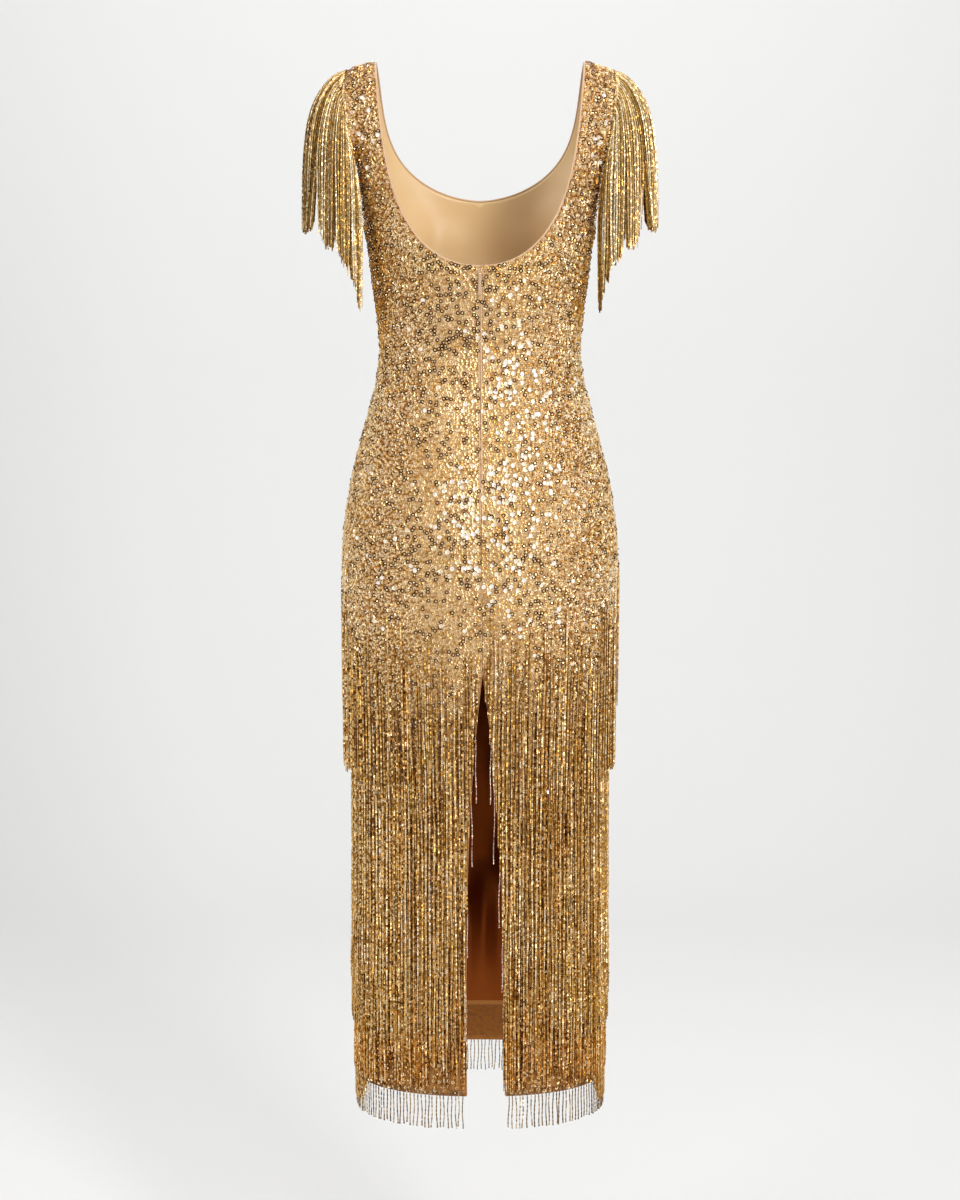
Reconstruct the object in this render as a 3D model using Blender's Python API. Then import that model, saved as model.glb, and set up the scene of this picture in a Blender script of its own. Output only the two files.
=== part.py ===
"""A fitted sequin evening dress with beaded fringe, hollow and held in its worn form.

The garment stands as if worn: +Z is up, the front faces -Y, the open back faces +Y, and the origin is the
middle of the shoulder line, where the wearer's shoulders carry it. Lengths are in metres.
"""

import math
from collections import namedtuple

import bmesh
import bpy
from mathutils import Vector

BACK, FRONT = 1, -1
LEFT, RIGHT = 1, -1

# Cloth
SHELL_WALL = 0.0020
LINING_WALL = 0.0010
CAP_WALL = 0.0016
SEAM_GAP = 0.0003

# Lengths of the garment
HEM_HEIGHT = -1.270
LINING_HEM_HEIGHT = -1.223
UNDERARM_HEIGHT = -0.205
SHOULDER_ARCH = 0.130
SHOULDER_SLOPE = 0.34
LEVEL_HEIGHT = -0.450

# How square the body's cross-section is: 2 is an ellipse
SQUARENESS = 2.3

Section = namedtuple("Section", "height half_width front back")
BODY = (
    Section(0.000, 0.1820, 0.1000, 0.1000),
    Section(-0.060, 0.1800, 0.1000, 0.1010),
    Section(-0.130, 0.1680, 0.1040, 0.1010),
    Section(-0.170, 0.1520, 0.1100, 0.0990),
    Section(-0.205, 0.1385, 0.1150, 0.0980),
    Section(-0.240, 0.1330, 0.1170, 0.0960),
    Section(-0.280, 0.1275, 0.1110, 0.0910),
    Section(-0.315, 0.1235, 0.0990, 0.0845),
    Section(-0.350, 0.1215, 0.0900, 0.0810),
    Section(-0.385, 0.1260, 0.0910, 0.0845),
    Section(-0.415, 0.1335, 0.0945, 0.0920),
    Section(-0.450, 0.1435, 0.0985, 0.1010),
    Section(-0.485, 0.1525, 0.1015, 0.1090),
    Section(-0.525, 0.1615, 0.1035, 0.1160),
    Section(-0.570, 0.1675, 0.1050, 0.1215),
    Section(-0.610, 0.1700, 0.1060, 0.1225),
    Section(-0.660, 0.1695, 0.1060, 0.1205),
    Section(-0.720, 0.1670, 0.1060, 0.1165),
    Section(-0.800, 0.1620, 0.1060, 0.1125),
    Section(-0.870, 0.1590, 0.1060, 0.1105),
    Section(-0.940, 0.1580, 0.1060, 0.1100),
    Section(-1.270, 0.1580, 0.1060, 0.1100),
)

Neck = namedtuple("Neck", "half_width taper drop roundness")
NECKS = {
    BACK: Neck(half_width=0.1275, taper=0.096, drop=0.2456, roundness=0.45),
    FRONT: Neck(half_width=0.1275, taper=0.080, drop=0.1651, roundness=0.57),
}
NECK_CORNER = 4.0

# How much of the run under the arm counts when rows are spaced along the armhole
UNDERARM_WEIGHT = -0.4

# Slit in the centre back, and the slight drift of the centre back seam to the wearer's right
SLIT_TOP = -0.7388
SLIT_HALF_WIDTH = 0.0245
SLIT_EASE = 3.0
SEAM_DRIFT = 0.0075

# Cap sleeve and the fringe on its edge
CAP_WIDTH = 0.018
CAP_END_WIDTH = 0.002
CAP_REACH = 0.56
CAP_LEAN = 0.36

# Fringe
LOCK_WIDTH = 0.0026
LOCK_THICKNESS = 0.0020
STRIP_HEIGHT = 0.006
STRIP_LIFT = 0.0008
SLEEVE_LOCKS = 25
SLEEVE_LOCK_LENGTH = 0.178
ARM_CENTRE = 0.158
ARM_HALF_WIDTH = 0.0603
ARM_TURN = 98
ARM_HALF_DEPTH = 0.0710

Tier = namedtuple("Tier", "name top length flare locks back_opening uneven")
TIERS = (
    Tier("hip_fringe", -0.655, 0.218, 0.000, 46, 0.0100, 0.006),
    Tier("knee_fringe", -0.980, 0.220, 0.005, 46, 0.0215, 0.006),
    Tier("hem_fringe", -1.263, 0.050, 0.000, 46, 0.0255, 0.002),
)

# Fastening
ZIP_ROWS = 8
ZIP_HALF_WIDTH = 0.012
ZIP_TAPE_WALL = 0.0008
SLIDER_SIZE = Vector((0.0050, 0.0016, 0.0080))
SLIDER_HEIGHT = -0.2555
EAR_THICKNESS = 0.0008
PIN_RADIUS = 0.0005
PIN_STAND_OFF = 0.0018
PULL_WIDTH = 0.0044
PULL_LENGTH = 0.0230
PULL_THICKNESS = 0.0010
BARREL_RADIUS = 0.0014
BARREL_BORE = 0.0009
BARREL_LENGTH = 0.0024

BINDING_RADIUS = 0.0013

SEQUIN_GOLD = (0.72, 0.50, 0.24)
BEAD_GOLD = (0.66, 0.43, 0.16)
NUDE_SATIN = (0.72, 0.52, 0.34)
NUDE_METAL = (0.70, 0.55, 0.42)


def cloth_collection():
    """Clears the scene and returns the dress's own collection."""
    for old in list(bpy.data.objects):
        bpy.data.objects.remove(old)
    collection = bpy.data.collections.new("sequin_fringe_dress")
    bpy.context.scene.collection.children.link(collection)
    return collection


def material(name, colour, roughness, metallic):
    made = bpy.data.materials.new(name)
    made.use_nodes = True
    shader = made.node_tree.nodes["Principled BSDF"]
    shader.inputs["Base Color"].default_value = (*colour, 1.0)
    shader.inputs["Roughness"].default_value = roughness
    shader.inputs["Metallic"].default_value = metallic
    return made


def add_piece(collection, name, bm, finish, parent=None):
    """Closes off a finished mesh as one named object with its faces pointing out."""
    bmesh.ops.recalc_face_normals(bm, faces=bm.faces)
    if bm.calc_volume(signed=True) < 0:
        bmesh.ops.reverse_faces(bm, faces=bm.faces)
    mesh = bpy.data.meshes.new(name)
    bm.to_mesh(mesh)
    bm.free()
    mesh.materials.append(finish)
    piece = bpy.data.objects.new(name, mesh)
    collection.objects.link(piece)
    piece.parent = parent
    return piece


# The worn form


def body_size(column, height):
    """One column of the body table at a height, on a smooth curve through its rows."""
    height = min(max(height, BODY[-1].height), BODY[0].height)
    row = next(i for i in range(len(BODY) - 1) if height >= BODY[i + 1].height)

    def slope(i):
        above, below = BODY[max(i - 1, 0)], BODY[min(i + 1, len(BODY) - 1)]
        return (getattr(below, column) - getattr(above, column)) / (below.height - above.height)

    span = BODY[row + 1].height - BODY[row].height
    u = (height - BODY[row].height) / span
    start, end = getattr(BODY[row], column), getattr(BODY[row + 1], column)
    if start == end:
        return start
    return (
        start * (2 * u**3 - 3 * u**2 + 1)
        + end * (3 * u**2 - 2 * u**3)
        + slope(row) * span * (u**3 - 2 * u**2 + u)
        + slope(row + 1) * span * (u**3 - u**2)
    )


def height_at(fall):
    """Height for a fall of 0 on the shoulder line, 1 at the foot of the shoulder's arch, and on down."""
    if fall < 1:
        return -SHOULDER_ARCH * (1 - math.cos(math.pi / 2 * fall))
    return -SHOULDER_ARCH * (1 + math.pi / 2 * (fall - 1))


def fall_at(height):
    if height > -SHOULDER_ARCH:
        return 2 / math.pi * math.acos(1 + height / SHOULDER_ARCH)
    return 1 + 2 / math.pi * (-height / SHOULDER_ARCH - 1)


def body_point(side, turn, fall):
    """A point of the left half of the form: turn is 0 at the centre line and a quarter turn at the side."""
    height = height_at(fall)
    across = body_size("half_width", height) * math.sin(turn)
    depth = body_size("back" if side == BACK else "front", height)
    arch = math.sin(math.pi / 2 * min(fall, 1))
    bulge = max(1 - abs(math.sin(turn)) ** SQUARENESS, 0) ** (1 / SQUARENESS)
    slope_drop = SHOULDER_SLOPE * max(across - NECKS[side].half_width, 0) * max(1 - fall, 0)
    return Vector((across, side * depth * arch * bulge, height - slope_drop))


def body_normal(side, turn, fall):
    step = 1e-4
    across = body_point(side, min(turn + step, math.pi / 2), fall) - body_point(side, turn - step, fall)
    down = body_point(side, turn, fall + step) - body_point(side, turn, max(fall - step, 0))
    return (side * across.cross(down)).normalized()


def turn_at(across, height):
    return math.asin(min(max(across / body_size("half_width", height), -1), 1))


def on_form(side, place):
    """The point of the form at a distance from the centre line and a height."""
    return body_point(side, turn_at(*place), fall_at(place[1]))


def lengths_along(points):
    """The running length at each point of a line."""
    lengths = [0.0]
    for a, b in zip(points, points[1:]):
        lengths.append(lengths[-1] + (b - a).length)
    return lengths


def point_at(points, lengths, distance):
    """The point at a running length on a line."""
    index = next((i for i in range(1, len(lengths)) if lengths[i] >= distance), len(lengths) - 1)
    share = (distance - lengths[index - 1]) / (lengths[index] - lengths[index - 1])
    return Vector(points[index - 1]).lerp(Vector(points[index]), share)


def spaced(places, count):
    """count + 1 places spaced evenly along a cut line, by its length over the shoulder's arch and down."""
    measured = []
    for place in places:
        arch = SHOULDER_ARCH * math.sin(math.pi / 2 * min(fall_at(place[1]), 1))
        measured.append(Vector((place[0], arch + UNDERARM_WEIGHT * on_form(BACK, place).y, place[1])))
    lengths = lengths_along(measured)
    return [point_at(places, lengths, lengths[-1] * i / count) for i in range(count + 1)]


# Cut lines of the panels, each a line of (distance from the centre line, height)


def neckline(side, count):
    """The scooped neck edge, from the shoulder down to the centre line."""
    neck = NECKS[side]
    fine = []
    for i in range(241):
        depth = neck.drop * math.sin(math.pi / 2 * i / 240)
        width = (neck.half_width - neck.taper * depth) * (1 - (depth / neck.drop) ** NECK_CORNER) ** neck.roundness
        fine.append((width, -depth))
    return spaced(fine, count)


def armhole_opening(share):
    """How far the armhole's edge stands from the side seam, as a turn, at a share of its depth."""
    return math.radians(36 * (1 - share**2.5) ** 0.5 - 4.5 * (1 - share) ** 3)


def armhole(count):
    """The armhole edge, from the shoulder's outer end down to the underarm."""
    fine = []
    for i in range(241):
        share = math.sin(math.pi / 2 * i / 240)
        height = UNDERARM_HEIGHT * share
        fine.append((body_size("half_width", height) * math.cos(armhole_opening(share)), height))
    return spaced(fine, count)


def slit_half_width(height):
    if height >= SLIT_TOP:
        return 0.0
    share = (SLIT_TOP - height) / (SLIT_TOP - HEM_HEIGHT)
    return SLIT_HALF_WIDTH * (1 - (1 - share) ** SLIT_EASE)


def seam_offset(height):
    """Where the centre back seam runs: it drifts a little to the wearer's right towards the hem."""
    share = min(max((height + 0.35) / (HEM_HEIGHT + 0.35), 0), 1)
    return -SEAM_DRIFT * share


def down_from(top, bottom, count):
    """Heights evenly spaced below top, bottom included."""
    return [top + (bottom - top) * (i + 1) / count for i in range(count)]


Rows = namedtuple("Rows", "neck above_level armhole side_above_level below_level")
PANEL_ROWS = {
    BACK: Rows(neck=13, above_level=6, armhole=9, side_above_level=10, below_level=12),
    FRONT: Rows(neck=11, above_level=8, armhole=9, side_above_level=10, below_level=12),
}
PANEL_COLUMNS = 8


def panel_rows(side, hand, hem):
    """For each row of a half panel, its inner and outer end as (turn, fall)."""
    rows = PANEL_ROWS[side]
    heights = down_from(LEVEL_HEIGHT, hem, rows.below_level)
    inner = [tuple(p) for p in neckline(side, rows.neck)]
    for height in down_from(inner[-1][1], LEVEL_HEIGHT, rows.above_level) + heights:
        inner.append((0.0, height))
    if side == BACK:
        inner = [
            (max(x, SEAM_GAP / 2 + slit_half_width(z) + hand * seam_offset(z)) if x > 0 else
             SEAM_GAP / 2 + slit_half_width(z) + hand * seam_offset(z), z)
            for x, z in inner
        ]
    outer = [tuple(p) for p in armhole(rows.armhole)]
    side_rows = down_from(UNDERARM_HEIGHT, LEVEL_HEIGHT, rows.side_above_level) + heights
    outer += [(body_size("half_width", height), height) for height in side_rows]
    to_form = lambda point: (turn_at(*point), fall_at(point[1]))
    return [(to_form(a), to_form(b)) for a, b in zip(inner, outer)]


def panel_point(side, rows, row, column):
    """A grid point of a half panel and its outward way; seam edges stop half a gap short of the seam."""
    share = column / PANEL_COLUMNS
    (inner_turn, inner_fall), (outer_turn, outer_fall) = rows[row]
    turn = inner_turn + (outer_turn - inner_turn) * share
    fall = max(inner_fall + (outer_fall - inner_fall) * share, 1e-3)
    point, normal = body_point(side, turn, fall), body_normal(side, turn, fall)
    if row == 0 or (column == PANEL_COLUMNS and row >= PANEL_ROWS[side].armhole):
        normal = Vector((normal.x, 0, normal.z)).normalized()
        point.y = side * SEAM_GAP / 2
    return point, normal


def cloth_wall(side, rows, wall, inset, whole):
    """A half panel on the worn form, or both halves joined at the centre line, given its thickness."""
    bm = bmesh.new()
    inward = bm.verts.layers.float_vector.new("inward")
    count = len(rows) - 1
    bmesh.ops.create_grid(bm, x_segments=PANEL_COLUMNS, y_segments=count, size=1)
    for vert in bm.verts:
        column = round((vert.co.x + 1) / 2 * PANEL_COLUMNS)
        row = round((1 - vert.co.y) / 2 * count)
        point, normal = panel_point(side, rows, row, column)
        vert.co = point - normal * inset
        vert[inward] = -normal
    if whole:
        bmesh.ops.mirror(bm, geom=bm.verts[:] + bm.edges[:] + bm.faces[:], axis="X", merge_dist=1e-6)
        for vert in bm.verts:
            if vert.co.x < -1e-6:
                vert[inward] = Vector((-vert[inward].x, vert[inward].y, vert[inward].z))
    thicken(bm, inward, wall)
    return bm


def thicken(bm, inward, wall):
    """Turns an open surface into a closed wall, by moving a copy of it along each point's inward way."""
    bmesh.ops.recalc_face_normals(bm, faces=bm.faces)
    made = bmesh.ops.extrude_face_region(bm, geom=bm.faces[:], use_keep_orig=True)
    for vert in made["geom"]:
        if isinstance(vert, bmesh.types.BMVert):
            vert.co += vert[inward] * wall


def flip_across(bm):
    """Turns a left piece into its right twin."""
    for vert in bm.verts:
        vert.co.x = -vert.co.x


def make_panels(collection, finish):
    rows = panel_rows(FRONT, LEFT, HEM_HEIGHT)
    add_piece(collection, "front", cloth_wall(FRONT, rows, SHELL_WALL, 0, whole=True), finish)
    for hand, name in ((LEFT, "back_left"), (RIGHT, "back_right")):
        bm = cloth_wall(BACK, panel_rows(BACK, hand, HEM_HEIGHT), SHELL_WALL, 0, whole=False)
        if hand == RIGHT:
            flip_across(bm)
        add_piece(collection, name, bm, finish)


# Front lining, which shows in the open back and in the slit


def make_lining(collection, finish):
    rows = panel_rows(FRONT, LEFT, HEM_HEIGHT)
    rows[-1] = tuple((turn, fall_at(LINING_HEM_HEIGHT)) for turn, fall in rows[-1])
    inset = SHELL_WALL + 2 * SEAM_GAP
    add_piece(collection, "front_lining", cloth_wall(FRONT, rows, LINING_WALL, inset, whole=True), finish)


# Neck binding: a slim nude roll along each neck edge


def make_binding(collection, name, side, hand, whole, finish):
    rows = panel_rows(side, hand, HEM_HEIGHT)
    rim = [panel_point(side, rows, row, 0) for row in range(PANEL_ROWS[side].neck + 1)]
    line = []
    for i, (point, normal) in enumerate(rim):
        along = rim[min(i + 1, len(rim) - 1)][0] - rim[max(i - 1, 0)][0]
        into_neck = side * normal.cross(along).normalized()
        line.append(point - normal * SHELL_WALL / 2 + into_neck * (BINDING_RADIUS + 3 * SEAM_GAP))
    line[0].y = side * 3 * SEAM_GAP
    if whole:
        line += [Vector((-p.x, p.y, p.z)) for p in reversed(line[:-1])]
    else:
        line[-1].x = hand * seam_offset(line[-1].z) + SEAM_GAP
    curve = bpy.data.curves.new(name, "CURVE")
    curve.dimensions = "3D"
    curve.bevel_depth = BINDING_RADIUS
    curve.bevel_resolution = 1
    curve.use_fill_caps = True
    spline = curve.splines.new("POLY")
    spline.points.add(len(line) - 1)
    for point, place in zip(spline.points, line):
        point.co = (hand * place.x, place.y, place.z, 1)
    curve.materials.append(finish)
    collection.objects.link(bpy.data.objects.new(name, curve))


# Cap sleeves: a narrow crescent set into the top of each armhole

CapEdge = namedtuple("CapEdge", "seam outward width")
ARMHOLE_EDGE = armhole(60)


def cap_edge(share):
    """The cap sleeve at a share from -1, its front end, over the shoulder at 0, to 1, its back end."""
    side = BACK if share >= 0 else FRONT
    lengths = lengths_along([on_form(side, place) for place in ARMHOLE_EDGE])
    seam = on_form(side, point_at(ARMHOLE_EDGE, lengths, lengths[-1] * CAP_REACH * abs(share)))
    outward = Vector((1, side * 0.12 * abs(share), -CAP_LEAN)).normalized()
    cap_width = CAP_END_WIDTH + (CAP_WIDTH - CAP_END_WIDTH) * (1 - abs(share)) ** 0.7
    return CapEdge(seam, outward, cap_width)


def cap_normal(share, out):
    step = 1e-3
    ahead, behind = cap_edge(min(share + step, 1)), cap_edge(max(share - step, -1))
    along = (ahead.seam + ahead.outward * out * ahead.width) - (behind.seam + behind.outward * out * behind.width)
    return cap_edge(share).outward.cross(along).normalized()


def make_cap_sleeves(collection, finish):
    columns = 16
    for hand, name in ((LEFT, "cap_sleeve_left"), (RIGHT, "cap_sleeve_right")):
        bm = bmesh.new()
        inward = bm.verts.layers.float_vector.new("inward")
        bmesh.ops.create_grid(bm, x_segments=columns, y_segments=2, size=1)
        for vert in bm.verts:
            share, out = round(vert.co.x, 6), (vert.co.y + 1) / 2
            edge = cap_edge(share)
            reach = 1.5 * SEAM_GAP + out * edge.width
            vert[inward] = -cap_normal(share, out)
            vert.co = edge.seam + edge.outward * reach
        thicken(bm, inward, CAP_WALL)
        if hand == RIGHT:
            flip_across(bm)
        add_piece(collection, name, bm, finish)


# Fringe: locks hang from a narrow strip, which is sewn on just clear of the cloth


def comb(edges, lock_sections):
    """A strip of cells with a lock drawn out of every other one.

    edges holds, for each side of each cell, the corners outer top, inner top, outer bottom and inner bottom.
    lock_sections holds, for each lock, its sections below the strip as (first outer, first inner, second outer,
    second inner) corners, first and second being the two sides of its cell.
    """
    bm = bmesh.new()
    column = bm.verts.layers.int.new("column")
    corner = bm.verts.layers.int.new("corner")
    cells = len(edges) - 1
    bmesh.ops.create_grid(bm, x_segments=cells, y_segments=1, size=1)
    for vert in bm.verts:
        vert[column] = round((vert.co.x + 1) / 2 * cells)
        vert[corner] = 0 if vert.co.y > 0 else 2
        vert.co = edges[vert[column]][vert[corner]]
    made = bmesh.ops.extrude_face_region(bm, geom=bm.faces[:], use_keep_orig=True)
    for vert in made["geom"]:
        if isinstance(vert, bmesh.types.BMVert):
            vert[corner] += 1
            vert.co = edges[vert[column]][vert[corner]]
    tips = []
    for face in bm.faces:
        first = min(v[column] for v in face.verts)
        if all(v[corner] in (2, 3) for v in face.verts) and first % 2 == 0:
            tips.append(face)
    for level in range(len(lock_sections[0])):
        tips = bmesh.ops.extrude_discrete_faces(bm, faces=tips)["faces"]
        for face in tips:
            first = min(v[column] for v in face.verts)
            section = lock_sections[first // 2][level]
            for vert in face.verts:
                vert.co = section[2 * (vert[column] - first) + vert[corner] - 2]
    return bm


def section_corners(centre, across, outward, width, thickness):
    """The four corners of a lock's cross-section, in the order that comb takes."""
    return [
        centre + across * a * width / 2 + outward * b * thickness / 2
        for a, b in ((-1, 1), (-1, -1), (1, 1), (1, -1))
    ]


def ring_line(height, lift, back_opening):
    """Points round the form at a height, from the left of the slit, round the front, to its right."""
    quarter = 60
    turns = [math.pi / 2 * i / quarter for i in range(quarter + 1)]
    fall = fall_at(height)
    half = [body_point(BACK, t, fall) + body_normal(BACK, t, fall) * lift for t in turns[:-1]]
    half += [body_point(FRONT, t, fall) + body_normal(FRONT, t, fall) * lift for t in reversed(turns)]
    for point in half:
        point.z = height
    line = half + [Vector((-p.x, p.y, p.z)) for p in reversed(half[:-1])]
    centre = seam_offset(height)
    return [p for p in line if p.y < 0 or abs(p.x - centre) > back_opening]


def make_tier(collection, tier, finish):
    line = ring_line(tier.top, STRIP_LIFT, tier.back_opening)
    lengths = lengths_along(line)
    pitch = (lengths[-1] - LOCK_WIDTH) / (tier.locks - 1)
    edges, locks = [], []
    for lock in range(tier.locks):
        places = [point_at(line, lengths, pitch * lock + shift) for shift in (0, LOCK_WIDTH)]
        across = (places[1] - places[0]).normalized()
        outward = Vector((across.y, -across.x, 0)) * -1
        for place in places:
            outer = place + outward * LOCK_THICKNESS
            low = Vector((0, 0, -STRIP_HEIGHT))
            edges.append((outer, place, outer + low, place + low))
        end = tier.top - tier.length - tier.uneven * math.sin(2.4 * lock)
        centre = (places[0] + places[1]) / 2 + outward * LOCK_THICKNESS / 2
        sections = []
        bend = ((0.5, 1.0),) if tier.flare else ()
        for share, taper in (*bend, (0.96, 1.0), (1.0, 0.5)):
            place = centre + outward * tier.flare * share**2
            place.z = tier.top + (end - tier.top) * share
            sections.append(section_corners(place, across, outward, LOCK_WIDTH * taper, LOCK_THICKNESS * taper))
        locks.append(sections)
    add_piece(collection, tier.name, comb(edges, locks), finish)


# Fringe of the cap sleeves, held in the round of the upper arm


def sleeve_root(share):
    """The cap sleeve's outer edge, where the fringe is sewn: its place and the way out."""
    edge = cap_edge(share)
    return edge.seam + edge.outward * (edge.width + 2.5 * SEAM_GAP), edge.outward


def arm_place(share):
    """Where a lock from that share of the cap's edge hangs in the round of the arm, and the way round it."""
    round_angle = math.radians(ARM_TURN) * (1 - (1 - abs(share)) ** 1.2)
    side = 1 if share >= 0 else -1
    out, back = math.cos(round_angle), side * math.sin(round_angle)
    return Vector((ARM_CENTRE + ARM_HALF_WIDTH * out, ARM_HALF_DEPTH * back, 0)), Vector((-back, out, 0))


def sleeve_lock(share):
    """The sections of one lock, which leaves the cap outwards and then hangs."""
    bend = 0.027
    sprout = 0.0022
    root, outward = sleeve_root(share)
    start = root + outward * STRIP_HEIGHT * 0.6
    hang, round_way = arm_place(share)
    reach = Vector((hang.x - start.x, hang.y - start.y, 0))
    along = (sleeve_root(min(share + 0.01, 1))[0] - sleeve_root(max(share - 0.01, -1))[0]).normalized()
    length = SLEEVE_LOCK_LENGTH + 0.022 * abs(share) - 0.35 * reach.length

    def place(fall):
        eased = 1 - math.exp(-fall / bend)
        flat = Vector((outward.x, outward.y, 0)) * sprout * min(fall / 0.004, 1)
        return start + flat + reach * eased + Vector((0, 0, -fall))

    sections = []
    for fall, taper in ((0.0045, 1), (0.016, 1), (0.040, 1), (length * 0.97, 1), (length, 0.5)):
        way = (place(fall + 5e-4) - place(fall - 5e-4)).normalized()
        across = along.lerp(round_way, 1 - math.exp(-fall / 0.006))
        across = (across - way * across.dot(way)).normalized()
        facing = way.cross(across)
        sections.append(section_corners(place(fall), across, facing, LOCK_WIDTH * taper, LOCK_THICKNESS * taper))
    return sections


def make_sleeve_fringe(collection, finish):
    shares = [-1 + 2 * i / (SLEEVE_LOCKS - 1) for i in range(SLEEVE_LOCKS)]
    for hand, name in ((LEFT, "sleeve_fringe_left"), (RIGHT, "sleeve_fringe_right")):
        edges, locks = [], []
        for share in shares:
            root, outward = sleeve_root(share)
            ahead, behind = sleeve_root(min(share + 0.01, 1))[0], sleeve_root(max(share - 0.01, -1))[0]
            along = (ahead - behind).normalized()
            normal = outward.cross(along).normalized()
            for step in (-LOCK_WIDTH / 2, LOCK_WIDTH / 2):
                top = root + along * step
                low = top + outward * STRIP_HEIGHT * 0.6
                under = -normal * LOCK_THICKNESS
                edges.append((top, top + under, low, low + under))
            locks.append(sleeve_lock(share))
        bm = comb(edges, locks)
        if hand == RIGHT:
            flip_across(bm)
        add_piece(collection, name, bm, finish)


# Zip: tape behind the centre back seam, a slider at its top and a hinged pull


def centre_back(height):
    """The point and outward way of the centre back at a height."""
    fall = fall_at(height)
    return body_point(BACK, 0, fall), body_normal(BACK, 0, fall)


def make_zip_tape(collection, finish):
    bm = bmesh.new()
    inward = bm.verts.layers.float_vector.new("inward")
    bmesh.ops.create_grid(bm, x_segments=2, y_segments=ZIP_ROWS, size=1)
    rows = {hand: panel_rows(BACK, hand, HEM_HEIGHT) for hand in (LEFT, RIGHT)}
    for vert in bm.verts:
        row = PANEL_ROWS[BACK].neck + round((1 - vert.co.y) / 2 * ZIP_ROWS)
        hand, reach = (RIGHT if vert.co.x < -0.5 else LEFT), ZIP_HALF_WIDTH * abs(vert.co.x)
        edge, normal = panel_point(BACK, rows[hand], row, 0)
        across = panel_point(BACK, rows[hand], row, 1)[0] - edge
        point = edge + across * reach / across.length
        vert.co = point - normal * (SHELL_WALL + 2 * SEAM_GAP)
        vert.co.x *= hand
        vert[inward] = Vector((-hand * normal.x, -normal.y, -normal.z))
    thicken(bm, inward, ZIP_TAPE_WALL)
    add_piece(collection, "zip_tape", bm, finish)


def box_mesh(size, place=Vector()):
    bm = bmesh.new()
    bmesh.ops.create_cube(bm, size=1)
    bmesh.ops.scale(bm, vec=size, verts=bm.verts)
    bmesh.ops.translate(bm, vec=place, verts=bm.verts)
    return bm


def rod_mesh(radius, length, sides):
    """A rod along X."""
    bm = bmesh.new()
    bmesh.ops.create_cone(bm, cap_ends=True, segments=sides, radius1=radius, radius2=radius, depth=length)
    for vert in bm.verts:
        vert.co = Vector((vert.co.z, vert.co.x, vert.co.y))
    bmesh.ops.recalc_face_normals(bm, faces=bm.faces)
    return bm


def cut_or_join(target, other_mesh, operation, cutters):
    """A Boolean of target with another mesh, kept as a modifier."""
    helper = add_piece(cutters, f"{target.name}_{operation.lower()}_{len(cutters.objects)}", other_mesh, None)
    helper.parent = target.parent
    helper.location, helper.rotation_euler = target.location, target.rotation_euler
    helper.hide_render = True
    helper.display_type = "WIRE"
    modifier = target.modifiers.new(helper.name, "BOOLEAN")
    modifier.operation = operation
    modifier.object = helper


def make_slider_and_pull(collection, cutters, finish):
    seat, outward = centre_back(SLIDER_HEIGHT)
    lean = math.atan2(-outward.z, outward.y)
    slider = add_piece(collection, "zip_slider", box_mesh(SLIDER_SIZE), finish)
    slider.location = seat + outward * (2 * SEAM_GAP + SLIDER_SIZE.y / 2)
    slider.rotation_euler.x = -lean
    pin_out = SLIDER_SIZE.y / 2 + PIN_STAND_OFF
    pin_up = SLIDER_SIZE.z / 2 - 1.5 * BARREL_RADIUS
    ear_size = Vector((EAR_THICKNESS, PIN_STAND_OFF + 3 * PIN_RADIUS, 2 * BARREL_RADIUS))
    for hand in (LEFT, RIGHT):
        ear_across = hand * (SLIDER_SIZE.x - EAR_THICKNESS) / 2
        ear_out = SLIDER_SIZE.y / 2 + ear_size.y / 2 - PIN_RADIUS
        cut_or_join(slider, box_mesh(ear_size, Vector((ear_across, ear_out, pin_up))), "UNION", cutters)
    pin = rod_mesh(PIN_RADIUS, SLIDER_SIZE.x - EAR_THICKNESS, 12)
    bmesh.ops.translate(pin, vec=Vector((0, pin_out, pin_up)), verts=pin.verts)
    cut_or_join(slider, pin, "UNION", cutters)

    hinge = bpy.data.objects.new("zip_pull_hinge", None)
    collection.objects.link(hinge)
    hinge.location = slider.location + slider.rotation_euler.to_matrix() @ Vector((0, pin_out, pin_up))
    pull = add_piece(collection, "zip_pull", rod_mesh(BARREL_RADIUS, BARREL_LENGTH, 16), finish, parent=hinge)
    plate = box_mesh(
        Vector((PULL_WIDTH, PULL_THICKNESS, PULL_LENGTH)),
        Vector((0, 0, -PULL_LENGTH / 2 - BARREL_RADIUS * 0.8)),
    )
    for vert in plate.verts:
        if vert.co.z > -PULL_LENGTH / 2:
            vert.co.x *= BARREL_LENGTH * 0.9 / PULL_WIDTH
    cut_or_join(pull, plate, "UNION", cutters)
    cut_or_join(pull, rod_mesh(BARREL_BORE, 3 * BARREL_LENGTH, 12), "DIFFERENCE", cutters)
    return hinge


def main():
    collection = cloth_collection()
    cutters = bpy.data.collections.new("cutters")
    bpy.context.scene.collection.children.link(cutters)
    sequins = material("gold_sequins", SEQUIN_GOLD, 0.35, 0.6)
    beads = material("gold_beads", BEAD_GOLD, 0.30, 0.7)
    satin = material("nude_satin", NUDE_SATIN, 0.45, 0.0)
    metal = material("nude_zip", NUDE_METAL, 0.40, 0.2)

    make_panels(collection, sequins)
    make_lining(collection, satin)
    make_binding(collection, "neck_binding_front", FRONT, LEFT, True, satin)
    make_binding(collection, "neck_binding_back_left", BACK, LEFT, False, satin)
    make_binding(collection, "neck_binding_back_right", BACK, RIGHT, False, satin)
    make_cap_sleeves(collection, sequins)
    make_sleeve_fringe(collection, beads)
    for tier in TIERS:
        make_tier(collection, tier, beads)
    make_zip_tape(collection, satin)
    make_slider_and_pull(collection, cutters, metal)


main()
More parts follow.
